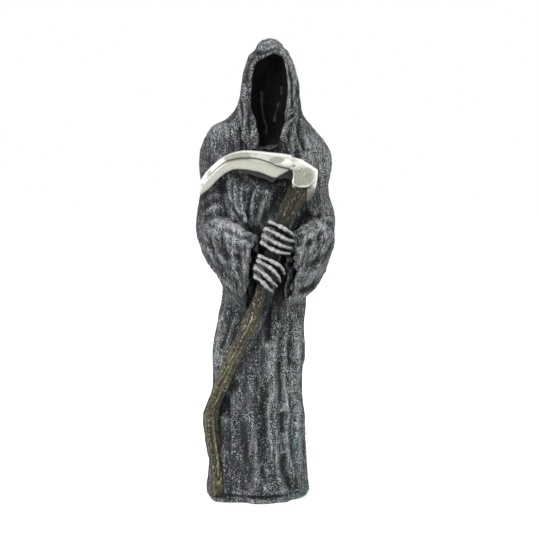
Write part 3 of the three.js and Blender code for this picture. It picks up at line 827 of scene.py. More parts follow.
def blade():
    """A band with a rounded back and a raised upper face, a step, and a flat lower bevel."""
    def place(share, angle):
        b, r, e = (along(numbered([row[k] for row in BLADE]), share) for k in range(3))
        full = smooth_step(share, -0.1, 0.35)[..., None]
        ahead = FORWARD * full
        corners = [b + (r - b) * part + ahead * out for part, out in UPPER_FACE]
        corners += [r + (e - r) * part + ahead * out for part, out in BEVEL]
        corners += [e, e - ahead * EDGE_THICK + REAR]
        corners += [spot - ahead * BLADE_THICK + REAR for spot in (r, b)]
        corners = np.stack(corners, axis=-2)
        count = corners.shape[-2]
        at = np.mod(angle / TURN, 1) * count
        first = np.floor(at).astype(int) % count
        part = (at - np.floor(at))[..., None]
        row = np.arange(len(share))
        return corners[row, first] * (1 - part) + corners[row, (first + 1) % count] * part

    return loft("blade", 160, 66, place)


def slab(name, outline, back, front, rounding):
    """A flat block with a rounded front edge."""
    bm = bmesh.new()
    corners = [bm.verts.new((x * MM, back * MM, z * MM)) for x, z in outline]
    rear = bm.faces.new(corners)
    grown = bmesh.ops.extrude_face_region(bm, geom=[rear])
    moved = [item for item in grown["geom"] if isinstance(item, bmesh.types.BMVert)]
    bmesh.ops.translate(bm, verts=moved, vec=(0, (front - back) * MM, 0))
    rim = [edge for edge in bm.edges if all(v in moved for v in edge.verts)]
    bmesh.ops.bevel(
        bm, geom=rim, offset=rounding * MM, segments=3, profile=0.5, affect="EDGES", material=-1,
    )
    bmesh.ops.triangulate(bm, faces=bm.faces)
    bmesh.ops.recalc_face_normals(bm, faces=bm.faces)
    return mesh_from(bm, name)


# Where the socket's tongue begins to lean back, and how steeply
TONGUE_TOP = 206.5
TONGUE_LEAN = 0.55


def scythe_head():
    """The blade with its socket, and the sheet of casting below it, painted dark as shade."""
    heel = slab("heel", HEEL, HEEL_BACK, HEEL_FRONT, 1.2)
    web = slab("web", WEB, WEB_BACK, WEB_FRONT, 1)
    piece = skinned(gathered("blade", [blade(), heel, web]), BLADE_VOXEL)
    mesh = piece.data
    calm = smoothed(spots_of(mesh) / MM, neighbours_of(mesh), 4)
    calm[:, 1] += TONGUE_LEAN * (np.clip(TONGUE_TOP - calm[:, 2], 0, None) * (calm[:, 0] > 20))
    set_spots(mesh, calm * MM)
    front = smooth_step(-normals_of(mesh)[:, 1], 0.2, 0.7)
    out = carved(calm, BLADE_CARVED) * front
    out += 0.12 * noise(calm / 4, 21) + 0.05 * noise(calm / 1.2, 22)
    pushed(mesh, out)
    return thinned(piece, BLADE_TRIANGLES)


# Long ridges and cracks in the handle
SNATH_CARVED = [
    (0.9, 0.6, [(-3.2, 138), (-6.8, 129), (-9.6, 120), (-13.8, 111), (-18.6, 103)]),
    (0.7, 0.6, [(-17, 104), (-21.5, 96), (-25.6, 87), (-28.6, 80)]),
    (-0.9, 0.7, [(-9, 117), (-12.5, 110), (-17.4, 101), (-21, 93)]),
    (-0.7, 0.6, [(-24.5, 88), (-29.5, 76), (-33, 66)]),
    (0.6, 0.8, [(-33.5, 66), (-37, 56), (-37.6, 47)]),
    (-0.7, 0.7, [(-35.6, 55), (-35.8, 44), (-34, 34)]),
    (0.6, 0.7, [(-33, 38), (-31.5, 26), (-30.5, 14)]),
    (-0.7, 0.7, [(14, 186), (17, 192), (19.4, 198)]),
    (0.6, 0.7, [(10.5, 186), (13.4, 193), (16, 199)]),
]


def snath():
    """The gnarled wooden handle, ridged along its length."""
    def radius(share, angle):
        twist = 1.2 * np.sin(3 * share) + 0.8 * share
        ridges = np.abs(np.sin(3.5 * angle + twist)) - 0.6
        fine = 1 - 2 * np.abs(noise(column(1.9 * np.cos(angle), 1.9 * np.sin(angle), share * 26), 31))
        knots = 0.35 * np.sin(share * 34) + 0.25 * np.sin(share * 61)
        held = smooth_step(share, 0.1, 0.13) * smooth_step(share, 0.32, 0.28)
        top = 1.3 * smooth_step(share, 0.12, 0.07)
        thin = smooth_step(share, 0.26, 0.31) * smooth_step(share, 0.46, 0.37)
        relief = (0.55 * ridges + 0.22 * fine + knots) * (1 - held)
        return SNATH_RADIUS + top + relief - 0.6 * held - 1.1 * thin

    piece = object_of(bar("snath", SNATH, radius, 420, 56))
    mesh = piece.data
    front = smooth_step(-normals_of(mesh)[:, 1], 0.1, 0.6)
    pushed(mesh, carved(spots_of(mesh) / MM, SNATH_CARVED) * front)
    return thinned(piece, SNATH_TRIANGLES)


# How thick a finger is along its two bones, with a knob at each end of both
BONES = [
    (0, 1), (0.06, 1.4), (0.16, 1.15), (0.36, 1.1), (0.47, 1.55), (0.515, 1.3), (0.56, 1.5),
    (0.7, 1.1), (0.88, 1.05), (1, 0.8),
]
WRIST_RADIUS = 4


def hand(name, fingers, palm, wrist):
    """Four fingers over the handle, with the palm behind and the wrist into the cuff."""
    parts = [ball("palm", *palm), bar("wrist", wrist, even(WRIST_RADIUS), 20, 16)]
    for points in fingers:
        parts.append(bar("finger", points, lambda share, angle: along(BONES, share)[..., 0]))
    piece = skinned(gathered(name, parts), HAND_VOXEL)
    spots = spots_of(piece.data) / MM
    pushed(piece.data, 0.2 * noise(spots / 1.7, 41) + 0.1 * noise(spots / 0.8, 42))
    return thinned(piece, HAND_TRIANGLES)


SLOTS = ["robe_paint", "blade_paint", "snath_paint", "bone_paint"]


def material_of(name):
    return bpy.data.materials.get(name) or bpy.data.materials.new(name)


def with_slot(piece, slot_name):
    """Gives a piece all the paints, and its faces one of them."""
    piece.data.materials.clear()
    for name in SLOTS:
        piece.data.materials.append(material_of(name))
    index = np.full(len(piece.data.polygons), SLOTS.index(slot_name), np.int32)
    piece.data.polygons.foreach_set("material_index", index)
    return piece


def paint_of(mesh):
    """Which paint each place of the mesh has."""
    faces = numbers_of(mesh.polygons, "material_index", kind=np.int32)
    sides = numbers_of(mesh.polygons, "loop_total", kind=np.int32)
    corners = numbers_of(mesh.loops, "vertex_index", kind=np.int32)
    paints = np.zeros(len(mesh.vertices), np.int32)
    paints[corners] = np.repeat(faces, sides)
    return paints


LINE_SAMPLES = 120


def near_line(spots, points):
    """How far places are from a line, how far along it they are, and which way off it."""
    whole = np.linalg.norm(np.diff(points, axis=0), axis=1).sum()
    samples = along(lengths(points), np.linspace(0, 1, LINE_SAMPLES))
    apart = np.linalg.norm(spots[:, None] - samples[None], axis=2)
    nearest = apart.argmin(axis=1)
    return apart.min(axis=1), nearest / (LINE_SAMPLES - 1) * whole, spots - samples[nearest]


def far_from(spots, points):
    """How far places are from a line."""
    line = along(numbered(points), np.linspace(0, 1, 90))
    return np.linalg.norm(spots[:, None] - line[None], axis=2).min(axis=1)


# Where the brush left more paint on the cloth, or less, with painted shade below the blade and around
# the hands and painted highlights on the shoulders and forearms: place from the front, spread, and
# amount
WEAR_AND_SHADING = [
    (2.5, 297.5, 8, 4, 0.5), (-4, 290, 9, 3, -0.4), (-14, 271, 5, 16, -0.6), (18.5, 264, 4, 14, -0.35),
    (-41, 226, 5, 16, -0.65), (-32, 241, 8, 5, 0.5), (30, 233, 10, 12, 0.75), (41, 204, 5, 24, 0.4),
    (-31, 187, 7, 7, 0.4), (-18, 174, 9, 7, 0.75), (27, 169, 7, 9, 0.3), (-24, 205, 8, 7, -0.55),
    (24, 196, 9, 8, -0.35), (15, 160, 6, 9, -0.8), (15.5, 147, 5, 9, -0.7), (1, 128, 11, 14, -0.6),
    (-13, 131, 6, 10, -0.8), (-12, 50, 6, 34, -0.35), (12, 78, 8, 30, 0.35), (-22, 28, 4, 14, -0.5),
    (-4, 40, 3.5, 24, 0.2), (21, 44, 5, 18, 0.3), (-27, 181, 10, 8, 0.5), (27, 181, 9, 8, 0.5),
    (-42, 196, 4, 12, -0.5), (14, 244, 5, 9, -0.35), (-12, 243, 7, 8, -0.45), (-31, 5, 10, 6, -0.9),
    (-17, 32, 5, 15, -0.35), (24, 5, 10, 5, -0.5), (-14, 76, 5, 9, -0.35), (-31, 91, 4, 13, 0.8),
    (38, 192, 5, 14, 0.3), (24, 231, 7, 6, 0.4), (-40, 188, 5, 10, -0.45), (-38, 206, 6, 14, -0.4),
    (-7, 139, 7, 13, -1.1), (25, 137, 5, 7, 0.4), (1, 133, 6, 9, -0.9), (36, 181, 8, 7, 0.4),
    (-29, 88, 3, 10, 0.6), (17, 114, 8, 8, 0.3), (10, 70, 6, 10, 0.3), (-15, 182, 7, 7, 0.5),
]


def wear_and_shading_of(spots):
    """How much more paint the brush left on each place of the front, with painted shade and highlights
    in it.
    """
    x, y, z = spots.T
    total = np.zeros(len(spots))
    for middle, height, wide, tall, amount in WEAR_AND_SHADING:
        total += amount * np.exp(-(((x - middle) / wide) ** 2) - ((z - height) / tall) ** 2)
    return total * smooth_step(-y, -14, 0)


# The painted shade inside the cuffs: half height, half width, and depth
CUFF_TALL = 19
CUFF_WIDE = 5.6
CUFF_DARK = 14
# Limits of X, Y and Z for the painted shade on the cloth behind the hands, and for the painted shade
# below the blade
BEHIND_HANDS = [(-13, 17), (-27.6, -16), (134, 182)]
BELOW_BLADE = [(-20, 17.4), (-30.8, 99), (0, 217)]
# The part of the handle that the hands hold
HELD_LOW = 142
HELD_HIGH = 181


def within(spots, limits):
    """Which places lie between the limits of X, Y and Z."""
    low, high = np.transpose(limits)
    return np.all((spots > low) & (spots < high), axis=1)


def lining_and_shade_of(spots, facing, cloth, metal, wood):
    """How dark each place is painted: near black in the hollow of the hood, and painted shade in the
    cuffs, behind the hands, on the chest, below the hood's opening, on the held handle and under the
    blade.
    """
    x, y, z = spots.T
    # Near black in the hollow of the hood, less so at its lowest part
    lining = inside_hood(spots) * (0.35 + 0.65 * smooth_step(z, 232, 242))
    # Painted shade inside the mouths of the sleeves
    for stations in (LEFT_SLEEVE, RIGHT_SLEEVE):
        mouth, way = (part[0] for part in walk([s[0] for s in stations], np.array([0.99])))
        depth = (spots - mouth) @ way
        gap = spots - mouth - depth[:, None] * way
        inner = (np.abs(gap[:, 2]) < CUFF_TALL) & (np.hypot(gap[:, 0], gap[:, 1]) < CUFF_WIDE)
        lining[cloth & inner & (depth > -CUFF_DARK) & (depth < 1)] = 1
    # Painted shade on the cloth behind the hands
    lining[cloth & within(spots, BEHIND_HANDS)] = 0.85
    # Painted shade on the chest below the blade, beside the top of the handle
    chest = 1 - smooth_step(np.hypot((x - 8) / 9, (z - 200) / 15), 0.4, 1)
    lining = np.maximum(lining, 0.55 * chest * cloth * (y < -15))
    # Painted shade in the recess below the hood's opening, above the blade
    neck = smooth_step(np.abs(x - 2.8), 9, 6) * smooth_step(z, 222, 227) * smooth_step(z, 236, 232)
    lining = np.maximum(lining, 0.8 * neck * cloth * (y < -12))
    # Painted shade on the part of the handle that the hands hold
    lining[wood & (z > HELD_LOW) & (z < HELD_HIGH)] = 1
    # Painted shade where the blade faces down, and on the sheet below it
    under = np.maximum(smooth_step(-facing[:, 2], 0.35, 0.75), within(spots, BELOW_BLADE))
    return np.maximum(lining, under * metal)


def marked(piece):
    """Writes what the paints read: what stands out, what is painted dark in hollows and as shade, and
    the grain's run.
    """
    mesh = piece.data
    spots = spots_of(mesh) / MM
    facing = normals_of(mesh)
    paints = paint_of(mesh)
    cloth, metal, wood, bones = (paints == number for number in range(len(SLOTS)))
    grain = grain_of(spots)
    _, run, offset = near_line(spots[wood], SNATH)
    grain[wood] = np.column_stack([offset[:, :2], run])
    back, ridge, edge = ([row[k] for row in BLADE] for k in range(3))
    lines = (back + HEEL_RIM, ridge, edge)
    grain[metal] = np.column_stack([far_from(spots[metal], line) for line in lines])
    bare = np.zeros(len(spots))
    apart = [near_line(spots[bones], points)[0] for points in UPPER_FINGERS + LOWER_FINGERS]
    bare[bones] = smooth_step(np.min(apart, axis=0), 2.1, 1.7)
    # Painted shade: the bones darker where they face down
    bare *= 0.25 + 0.75 * smooth_step(facing[:, 2], -0.75, 0.1)
    lining = lining_and_shade_of(spots, facing, cloth, metal, wood)
    marks = {
        "fine": np.clip(stand_out(mesh, 6), -0.8, 0.5),
        "broad": np.clip(stand_out(mesh, 60), -2, 0.8),
        "grain": grain,
        "worn": wear_and_shading_of(spots),
        "streaky": streaky(spots),
        "bare": bare,
        "lining": smoothed(lining, neighbours_of(mesh), 3),
    }
    for name, values in marks.items():
        mark(mesh, name, values)
    return piece


def statue():
    """The casting: robe, handle, blade and hands in one mesh, closed everywhere."""
    whole = with_slot(robe(), "robe_paint")
    parts = [
        (snath(), "snath_paint"),
        (scythe_head(), "blade_paint"),
        (hand("upper_hand", UPPER_FINGERS, UPPER_PALM, UPPER_WRIST), "bone_paint"),
        (hand("lower_hand", LOWER_FINGERS, LOWER_PALM, LOWER_WRIST), "bone_paint"),
    ]
    for part, slot_name in parts:
        whole = combined(whole, with_slot(part, slot_name), "UNION")
    bm = bmesh.new()
    bm.from_mesh(whole.data)
    geom = [*bm.verts, *bm.edges, *bm.faces]
    cut = bmesh.ops.bisect_plane(
        bm, geom=geom, plane_co=(0, 0, 0), plane_no=(0, 0, 1), dist=TINY, clear_inner=True,
    )
    rim = [item for item in cut["geom_cut"] if isinstance(item, bmesh.types.BMEdge)]
    if rim:
        bmesh.ops.triangle_fill(bm, use_beauty=True, edges=rim)
    bmesh.ops.triangulate(bm, faces=bm.faces)
    bmesh.ops.dissolve_degenerate(bm, dist=TINY, edges=bm.edges)
    bmesh.ops.recalc_face_normals(bm, faces=bm.faces)
    bm.to_mesh(whole.data)
    bm.free()
    whole.data.shade_smooth()
    whole.name = "reaper"
    return marked(whole)


class Desk:
    """Places and joins shader nodes in one tree."""

    def __init__(self, tree):
        self.tree = tree

    def feed(self, socket, value):
        """Joins an input to another node's output, or sets its value."""
        if isinstance(value, bpy.types.NodeSocket):
            self.tree.links.new(value, socket)
        else:
            socket.default_value = value

    def add(self, kind, inputs=(), **settings):
        node = self.tree.nodes.new("ShaderNode" + kind)
        for name, value in settings.items():
            setattr(node, name, value)
        for name, value in dict(inputs).items():
            self.feed(node.inputs[name], value)
        return node

    def sum(self, operation, *values):
        return self.add("Math", dict(enumerate(values)), operation=operation).outputs[0]

    def less(self, value, taken):
        return self.sum("SUBTRACT", value, taken)

    def times_add(self, value, factor, extra):
        return self.sum("MULTIPLY_ADD", value, factor, extra)

    def times(self, value, *factors):
        for factor in factors:
            value = self.sum("MULTIPLY", value, factor)
        return value

    def most(self, value, *others):
        for other in others:
            value = self.sum("MAXIMUM", value, other)
        return value

    def parts(self, vector):
        return self.add("SeparateXYZ", {0: vector}).outputs

    def step(self, value, low, high):
        inputs = {"Value": value, "From Min": low, "From Max": high}
        return self.add("MapRange", inputs, interpolation_type="SMOOTHSTEP").outputs[0]

    def mix(self, share, first, second, blend="MIX"):
        inputs = {0: share, 6: first, 7: second}
        return self.add("Mix", inputs, data_type="RGBA", blend_type=blend).outputs[2]

    def scaled(self, vector, scales):
        return self.add("VectorMath", {0: vector, 1: scales}, operation="MULTIPLY").outputs[0]

    def noise(self, vector, scale, detail, rough, stretch=(1, 1, 1), twist=0.0):
        inputs = {
            "Vector": self.scaled(vector, tuple(scale * part for part in stretch)),
            "Scale": 1.0, "Detail": detail, "Roughness": rough, "Distortion": twist,
        }
        return self.add("TexNoise", inputs, noise_dimensions="3D").outputs[0]

    def attribute(self, name, output="Fac"):
        return self.add("Attribute", attribute_name=name, attribute_type="GEOMETRY").outputs[output]

    def place(self):
        """Where on the piece a place is, in millimetres."""
        local = self.add("TexCoord").outputs["Object"]
        return self.scaled(local, (1 / MM, 1 / MM, 1 / MM))

    def group(self, name, inputs):
        return self.add("Group", inputs, node_tree=bpy.data.node_groups[name]).outputs


def shader_group(name, inputs, outputs):
    """A new node group, with its sockets named and typed."""
    tree = bpy.data.node_groups.new(name, "ShaderNodeTree")
    for kinds, way in ((inputs, "INPUT"), (outputs, "OUTPUT")):
        for label, kind in kinds.items():
            tree.interface.new_socket(label, in_out=way, socket_type="NodeSocket" + kind)
    start = tree.nodes.new("NodeGroupInput").outputs
    end = tree.nodes.new("NodeGroupOutput").inputs
    return Desk(tree), start, end


def bark_group():
    """A close network of raised streaks and grit, and slower patches of wear."""
    desk, start, end = shader_group(
        "bark",
        {"Run": "Vector", "Width": "Float", "Stretch": "Float", "Streak": "Float", "Grit": "Float"},
        {"Height": "Float", "Patch": "Float"},
    )
    run = start["Run"]
    across = desk.sum("DIVIDE", 1.0, start["Width"])
    lengthwise = desk.sum("DIVIDE", across, start["Stretch"])
    pairs = zip(desk.parts(run), (across, across, lengthwise))
    inputs = {number: desk.times(*pair) for number, pair in enumerate(pairs)}
    scaled = desk.add("CombineXYZ", inputs).outputs[0]
    streak = desk.noise(scaled, 1.0, 2.0, 0.6, twist=0.3)
    bundle = desk.noise(scaled, 0.36, 1.0, 0.5, (1, 1, 1.3), twist=0.4)
    grit = desk.noise(run, 1.25, 0.0, 0.5)
    rubbed = desk.noise(run, 0.12, 2.0, 0.5, (1, 1, 0.5))
    rubbed = desk.add("MapRange", {0: rubbed, 1: 0.36, 2: 0.64, 3: 0.5, 4: 1.55}).outputs[0]
    height = desk.times(desk.less(streak, 0.5), start["Streak"])
    height = desk.times_add(desk.less(bundle, 0.5), 1.2, height)
    specks = desk.times(desk.less(grit, 0.5), rubbed)
    height = desk.times_add(specks, start["Grit"], height)
    desk.feed(end["Height"], desk.sum("ADD", height, 0.4))
    desk.feed(end["Patch"], desk.noise(run, 0.09, 3.0, 0.55, (1, 1, 0.45)))


def brushed_group():
    """Where a dry brush leaves paint: on what stands out, broken up by the grain, and more or less where
    wear and painted light and shade are marked.
    """
    desk, start, end = shader_group(
        "brushed",
        {"Height": "Float", "Fine": "Float", "Broad": "Float", "Patch": "Float", "Worn": "Float"},
        {"Share": "Float"},
    )
    value = desk.times_add(start["Fine"], 1.5, start["Height"])
    value = desk.times_add(start["Broad"], 0.4, value)
    value = desk.times_add(start["Patch"], 0.6, value)
    value = desk.sum("ADD", value, start["Worn"])
    share = desk.add("MapRange", {0: value, 1: -1.3, 2: 1.5}).outputs[0]
    desk.feed(end["Share"], desk.sum("POWER", share, 2.0))


def paint(name):
    """A paint's emptied material, with a new shader joined to its surface."""
    material = material_of(name)
    material.use_nodes = True
    material.node_tree.nodes.clear()
    desk = Desk(material.node_tree)
    shader = desk.add("BsdfPrincipled")
    desk.add("OutputMaterial", {0: shader.outputs[0]})
    return desk, shader


def brushed(desk, bark, worn):
    """How much of the dry-brushed paint there is on cloth or wood."""
    return desk.group("brushed", {
        "Height": bark["Height"], "Fine": desk.attribute("fine"), "Broad": desk.attribute("broad"),
        "Patch": bark["Patch"], "Worn": worn,
    })["Share"]


def finish(desk, shader, colour, rough, height, depth, shine):
    """Joins colour, roughness and fine relief, as deep as given in millimetres, to a shader."""
    bump = desk.add("Bump", {"Height": height, "Strength": 1.0, "Distance": depth * MM})
    desk.feed(shader.inputs["Base Color"], colour)
    desk.feed(shader.inputs["Roughness"], rough)
    desk.feed(shader.inputs["Normal"], bump.outputs[0])
    desk.feed(shader.inputs["Specular IOR Level"], shine)


# Pairs of colours that a paint wanders between
CLOTH_PALE = [(0.435, 0.447, 0.467, 1), (0.425, 0.463, 0.462, 1)]
CLOTH_DARK = [(0.0135, 0.0155, 0.0175, 1), (0.0235, 0.0265, 0.029, 1)]
# The near black of the hood's hollow and of the painted shade on the cloth, greyer on raised folds
HOLLOW_AND_SHADE = [(0.001, 0.001, 0.0015, 1), (0.05, 0.053, 0.056, 1)]
IVORY = [(0.40, 0.395, 0.34, 1), (0.48, 0.475, 0.425, 1)]
WOOD_PALE = [(0.33, 0.29, 0.21, 1), (0.28, 0.28, 0.17, 1)]
WOOD_DARK = [(0.02, 0.017, 0.012, 1), (0.028, 0.028, 0.014, 1)]
# Black between the bones and grey bone, which painted shade darkens on the bones' undersides
BONE = [(0.004, 0.004, 0.005, 1), (0.43, 0.44, 0.445, 1)]
# Casts that the cloth's colour is multiplied by
GREENISH = (0.88, 1.04, 1.03, 1)
VIOLET = (1.03, 0.985, 1.04, 1)
# Layers over the ivory of the blade, in the order in which they are laid. The bright, rim and lit layers
# are painted highlights, and the shade, tail, crease and under layers painted shade.
BLADE_LAYERS = {
    "bright": (0.84, 0.85, 0.82, 1),
    "wash": (0.24, 0.24, 0.195, 1),
    "shade": (0.22, 0.22, 0.175, 1),
    "olive": (0.18, 0.185, 0.135, 1),
    "tail": (0.12, 0.105, 0.085, 1),
    "sunk_dark": (0.13, 0.13, 0.095, 1),
    "crease": (0.05, 0.05, 0.038, 1),
    "rim": (0.85, 0.86, 0.82, 1),
    "lit": (0.70, 0.70, 0.665, 1),
    "under": (0.018, 0.016, 0.014, 1),
}
# Ovals on the blade seen from the front: middle and half size. The shoulder and socket ovals place
# painted highlights.
BLADE_OVALS = {
    "bend": ((-18.5, 225.0), (9.5, 5.0)),
    "worn": ((-1.0, 224.0), (7.0, 4.0)),
    "shoulder": ((13.0, 220.8), (3.6, 2.4)),
    "socket": ((22.5, 219.2), (7.0, 3.4)),
    "patch": ((7.0, 222.4), (5.4, 2.3)),
    "panel": ((23.4, 211.8), (7.2, 8.8)),
}
# Layers over the handle's colour: lighter raised edges, painted shadow at the top under the socket, and
# painted shade where the hands hold it
WOOD_LAYERS = {
    "edge": (0.42, 0.40, 0.31, 1),
    "top": (0.004, 0.005, 0.002, 1),
    "held": (0.004, 0.004, 0.005, 1),
}


def robe_paint():
    desk, shader = paint("robe_paint")
    run = desk.attribute("grain", "Vector")
    combed = desk.attribute("streaky")
    bark = desk.group("bark", {
        "Run": run, "Width": 0.66, "Stretch": 9.0,
        "Streak": desk.times_add(combed, 2.6, 2.4), "Grit": desk.times_add(combed, -2.6, 5.0),
    })
    # Less dry brush all over, and more or less of it where wear, painted highlights and painted shade
    # are marked
    share = brushed(desk, bark, desk.less(desk.attribute("worn"), 1.15))
    tint = desk.noise(run, 0.11, 2.0, 0.5)
    pale = desk.mix(desk.step(tint, 0.4, 0.62), *CLOTH_PALE)
    dark = desk.mix(desk.step(bark["Patch"], 0.35, 0.65), *CLOTH_DARK)
    colour = desk.mix(share, dark, pale)
    x, _, z = desk.parts(desk.place())
    green = desk.times(desk.step(x, 2.0, 12.0), desk.step(z, 80.0, 35.0), desk.step(tint, 0.38, 0.6))
    colour = desk.mix(green, colour, GREENISH, "MULTIPLY")
    violet = desk.times(desk.step(x, 6.0, -6.0), desk.step(tint, 0.55, 0.36))
    colour = desk.mix(violet, colour, VIOLET, "MULTIPLY")
    # Near black in the hood's hollow, and painted shade in the cuffs, behind the hands, on the chest and
    # below the hood's opening
    inner = desk.mix(desk.step(desk.attribute("fine"), 0.06, 0.4), *HOLLOW_AND_SHADE)
    colour = desk.mix(desk.times(desk.attribute("lining"), 0.99), colour, inner)
    rough = desk.times_add(share, 0.2, 0.6)
    finish(desk, shader, colour, rough, bark["Height"], 0.35, 0.2)


def spot_mask(desk, x, z, middle, half):
    """A soft oval seen from the front."""
    aside = desk.sum("DIVIDE", desk.less(x, middle[0]), half[0])
    above = desk.sum("DIVIDE", desk.less(z, middle[1]), half[1])
    apart = desk.times_add(aside, aside, desk.times(above, above))
    return desk.step(apart, 1.25, 0.5)


def blade_paint():
    desk, shader = paint("blade_paint")
    place = desk.place()
    x, _, z = desk.parts(place)
    from_back, from_ridge, from_edge = desk.parts(desk.attribute("grain", "Vector"))
    fine, broad = desk.attribute("fine"), desk.attribute("broad")
    cloud = desk.noise(place, 0.12, 3.0, 0.55)
    flecks = desk.noise(place, 0.8, 3.0, 0.6)
    bend, worn, shoulder, socket, patch, panel = (
        spot_mask(desk, x, z, *oval) for oval in BLADE_OVALS.values()
    )
    upper = desk.times(desk.sum("LESS_THAN", from_back, from_edge), desk.step(x, 20.0, 16.0))
    # Painted highlights: the upper face towards the tip, a faint patch in the middle, and spots on the
    # blade's shoulder and the socket's top
    bright = desk.times(upper, desk.step(x, -24.0, -28.0), 1.25)
    bright = desk.most(bright, desk.times(worn, 0.12), shoulder, desk.times(socket, 0.5))
    wash = desk.times(desk.step(cloud, 0.35, 0.75), desk.step(x, -4.0, -9.0))
    wash = desk.most(wash, desk.times(bend, 1.3))
    wash = desk.times(desk.step(from_back, 0.6, 2.0), wash, desk.times(upper, 0.85))
    shade = desk.times(desk.step(from_ridge, 4.6, 0.4), desk.step(x, -30.0, -4.0))
    shade = desk.times_add(desk.step(x, -22.0, -30.0), 0.3, shade)
    shade = desk.times_add(shade, 0.6, 0.42)
    shade = desk.times(shade, desk.less(1.0, upper), desk.step(x, 20.0, 15.0), 0.6)
    patch = desk.times(patch, desk.step(flecks, 0.15, 0.55), 0.75)
    panel = desk.times(panel, desk.step(z, 220.5, 216.5), desk.step(flecks, 0.1, 0.62), 0.85)
    # Painted shade on the socket's right side and on its tail, which also takes the lit edges off the
    # tail
    side = desk.step(desk.times_add(z, 0.16, desk.less(x, 66.0)), -1.0, 0.6)
    tail = desk.times(desk.step(z, 207.0, 201.0), desk.sum("GREATER_THAN", x, 18.0))
    tail = desk.most(tail, desk.times(side, 0.78))
    # Darker and rougher where the surface is sunk, broken up by flecks
    sunk = desk.times_add(fine, -1.4, desk.times(broad, -0.25))
    sunk_dark = desk.step(desk.times_add(flecks, 0.4, sunk), 0.35, 1.2)
    # Painted shade along the crease of the ridge
    crease = desk.times(desk.step(from_ridge, 0.7, 0.2), desk.step(x, -30.0, 4.0), 0.42)
    # Painted highlights along the back and on raised edges
    rim = desk.times(desk.step(from_back, 2.1, 0.9), desk.step(x, -30.0, -8.0))
    lit = desk.most(desk.step(from_back, 1.4, 0.3), desk.step(fine, 0.1, 0.34))
    shares = {
        "bright": desk.times(bright, 0.7),
        "wash": wash,
        "shade": shade,
        "olive": desk.most(patch, panel),
        "tail": desk.times(tail, 0.9),
        "sunk_dark": sunk_dark,
        "crease": crease,
        "rim": desk.times(rim, desk.step(z, 207.5, 212.0)),
        "lit": desk.times(lit, desk.less(1.0, tail)),
        "under": desk.attribute("lining"),
    }
    colour = desk.mix(desk.step(flecks, 0.25, 0.8), *IVORY)
    for name, layer in BLADE_LAYERS.items():
        colour = desk.mix(shares[name], colour, layer)
    finish(desk, shader, colour, desk.times_add(sunk_dark, 0.25, 0.45), flecks, 0.1, 0.35)


def snath_paint():
    desk, shader = paint("snath_paint")
    run = desk.attribute("grain", "Vector")
    bark = desk.group(
        "bark", {"Run": run, "Width": 0.7, "Stretch": 4.0, "Streak": 2.2, "Grit": 5.0})
    height = desk.parts(desk.place())[2]
    # Painted shadow of the socket over the top of the handle, and painted shade on the handle from below
    # the hands upward, with less of the dry brush there
    top = desk.step(height, 180.0, 195.0)
    worn = desk.times_add(top, -0.05, -1.25)
    worn = desk.times_add(desk.step(height, 114.0, 138.0), -0.5, worn)
    share = brushed(desk, bark, worn)
    moss = desk.noise(run, 0.12, 2.0, 0.5)
    dark = desk.mix(desk.step(moss, 0.4, 0.6), *WOOD_DARK)
    pale = desk.mix(desk.step(moss, 0.42, 0.62), *WOOD_PALE)
    colour = desk.mix(share, dark, pale)
    edge = desk.times(desk.step(desk.attribute("fine"), 0.16, 0.42), share)
    colour = desk.mix(edge, colour, WOOD_LAYERS["edge"])
    colour = desk.mix(desk.times(top, 0.4), colour, WOOD_LAYERS["top"])
    # Painted shade where the hands hold the handle
    colour = desk.mix(desk.attribute("lining"), colour, WOOD_LAYERS["held"])
    finish(desk, shader, colour, desk.times_add(share, 0.1, 0.6), bark["Height"], 0.3, 0.25)


def bone_paint():
    desk, shader = paint("bone_paint")
    flecks = desk.noise(desk.place(), 1.6, 3.0, 0.6)
    value = desk.times_add(desk.attribute("fine"), 0.8, desk.times_add(flecks, 0.8, -0.4))
    # Grey bone where it shows and faces up, black between the bones, and painted shade on their
    # undersides
    share = desk.times(desk.attribute("bare"), desk.step(value, -0.25, 0.3))
    colour = desk.mix(share, *BONE)
    finish(desk, shader, colour, desk.times_add(share, 0.25, 0.4), flecks, 0.12, 0.2)


# The studio, in metres, watts and degrees
FLOOR_HALF = 3
FLOOR_LOOK = {
    "Base Color": (0.9, 0.9, 0.9, 1),
    "Roughness": 0.9,
    "Emission Color": (1, 1, 1, 1),
    "Emission Strength": 0.6,
}
AMBIENT = 0.5
LIGHT_AIM = (0, 0, 0.17)
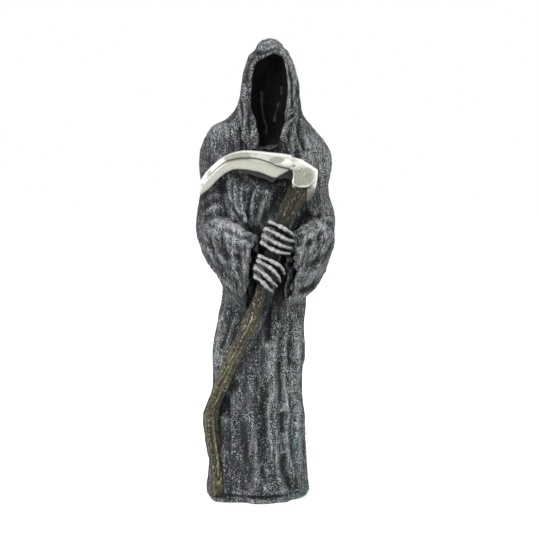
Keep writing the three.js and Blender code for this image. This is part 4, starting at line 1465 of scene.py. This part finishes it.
# Name, place, size and power
LIGHTS = [
    ("key", (-0.6, -0.8, 1.1), 0.6, 14),
    ("fill", (0.9, -0.8, 0.7), 0.9, 3),
    ("rim", (0.3, 0.9, 0.9), 0.8, 3),
]
CAMERA_PLACE = (0.0026, -1.15, 0.258)
CAMERA_TILT = 84.595
CAMERA_LENS = 117.1


def floor():
    """A pale sheet under the statue, which only the photo's setting needs."""
    bm = bmesh.new()
    bmesh.ops.create_grid(bm, x_segments=1, y_segments=1, size=FLOOR_HALF)
    sheet = object_of(mesh_from(bm, "floor"))
    material = bpy.data.materials.new("pale_floor")
    material.use_nodes = True
    for name, value in FLOOR_LOOK.items():
        material.node_tree.nodes["Principled BSDF"].inputs[name].default_value = value
    sheet.data.materials.append(material)


def light(name, place, size, power):
    """A round lamp that looks at the middle of the statue."""
    lamp = bpy.data.lights.new(name, "AREA")
    lamp.shape = "DISK"
    lamp.size = size
    lamp.energy = power
    holder = object_of(lamp)
    holder.location = place
    aim = np.array(LIGHT_AIM) - np.array(place)
    holder.rotation_euler = (
        math.acos(-aim[2] / np.linalg.norm(aim)), 0, math.atan2(aim[1], aim[0]) - math.pi / 2,
    )


def studio():
    floor()
    for lamp in LIGHTS:
        light(*lamp)
    world = bpy.data.worlds.new("studio")
    world.use_nodes = True
    desk = Desk(world.node_tree)
    seen = desk.add("LightPath").outputs["Is Camera Ray"]
    background = world.node_tree.nodes["Background"].inputs
    desk.feed(background["Color"], (1, 1, 1, 1))
    desk.feed(background["Strength"], desk.times_add(seen, 1 - AMBIENT, AMBIENT))
    bpy.context.scene.world = world
    bpy.context.scene.view_settings.view_transform = "Standard"
    lens = bpy.data.cameras.new("camera")
    lens.lens = CAMERA_LENS
    camera = object_of(lens)
    camera.location = CAMERA_PLACE
    camera.rotation_euler = (math.radians(CAMERA_TILT), 0, 0)
    bpy.context.scene.camera = camera


bark_group()
brushed_group()
reaper = statue()
robe_paint()
blade_paint()
snath_paint()
bone_paint()
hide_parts("reaper_statue")
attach(reaper, "root")
studio()
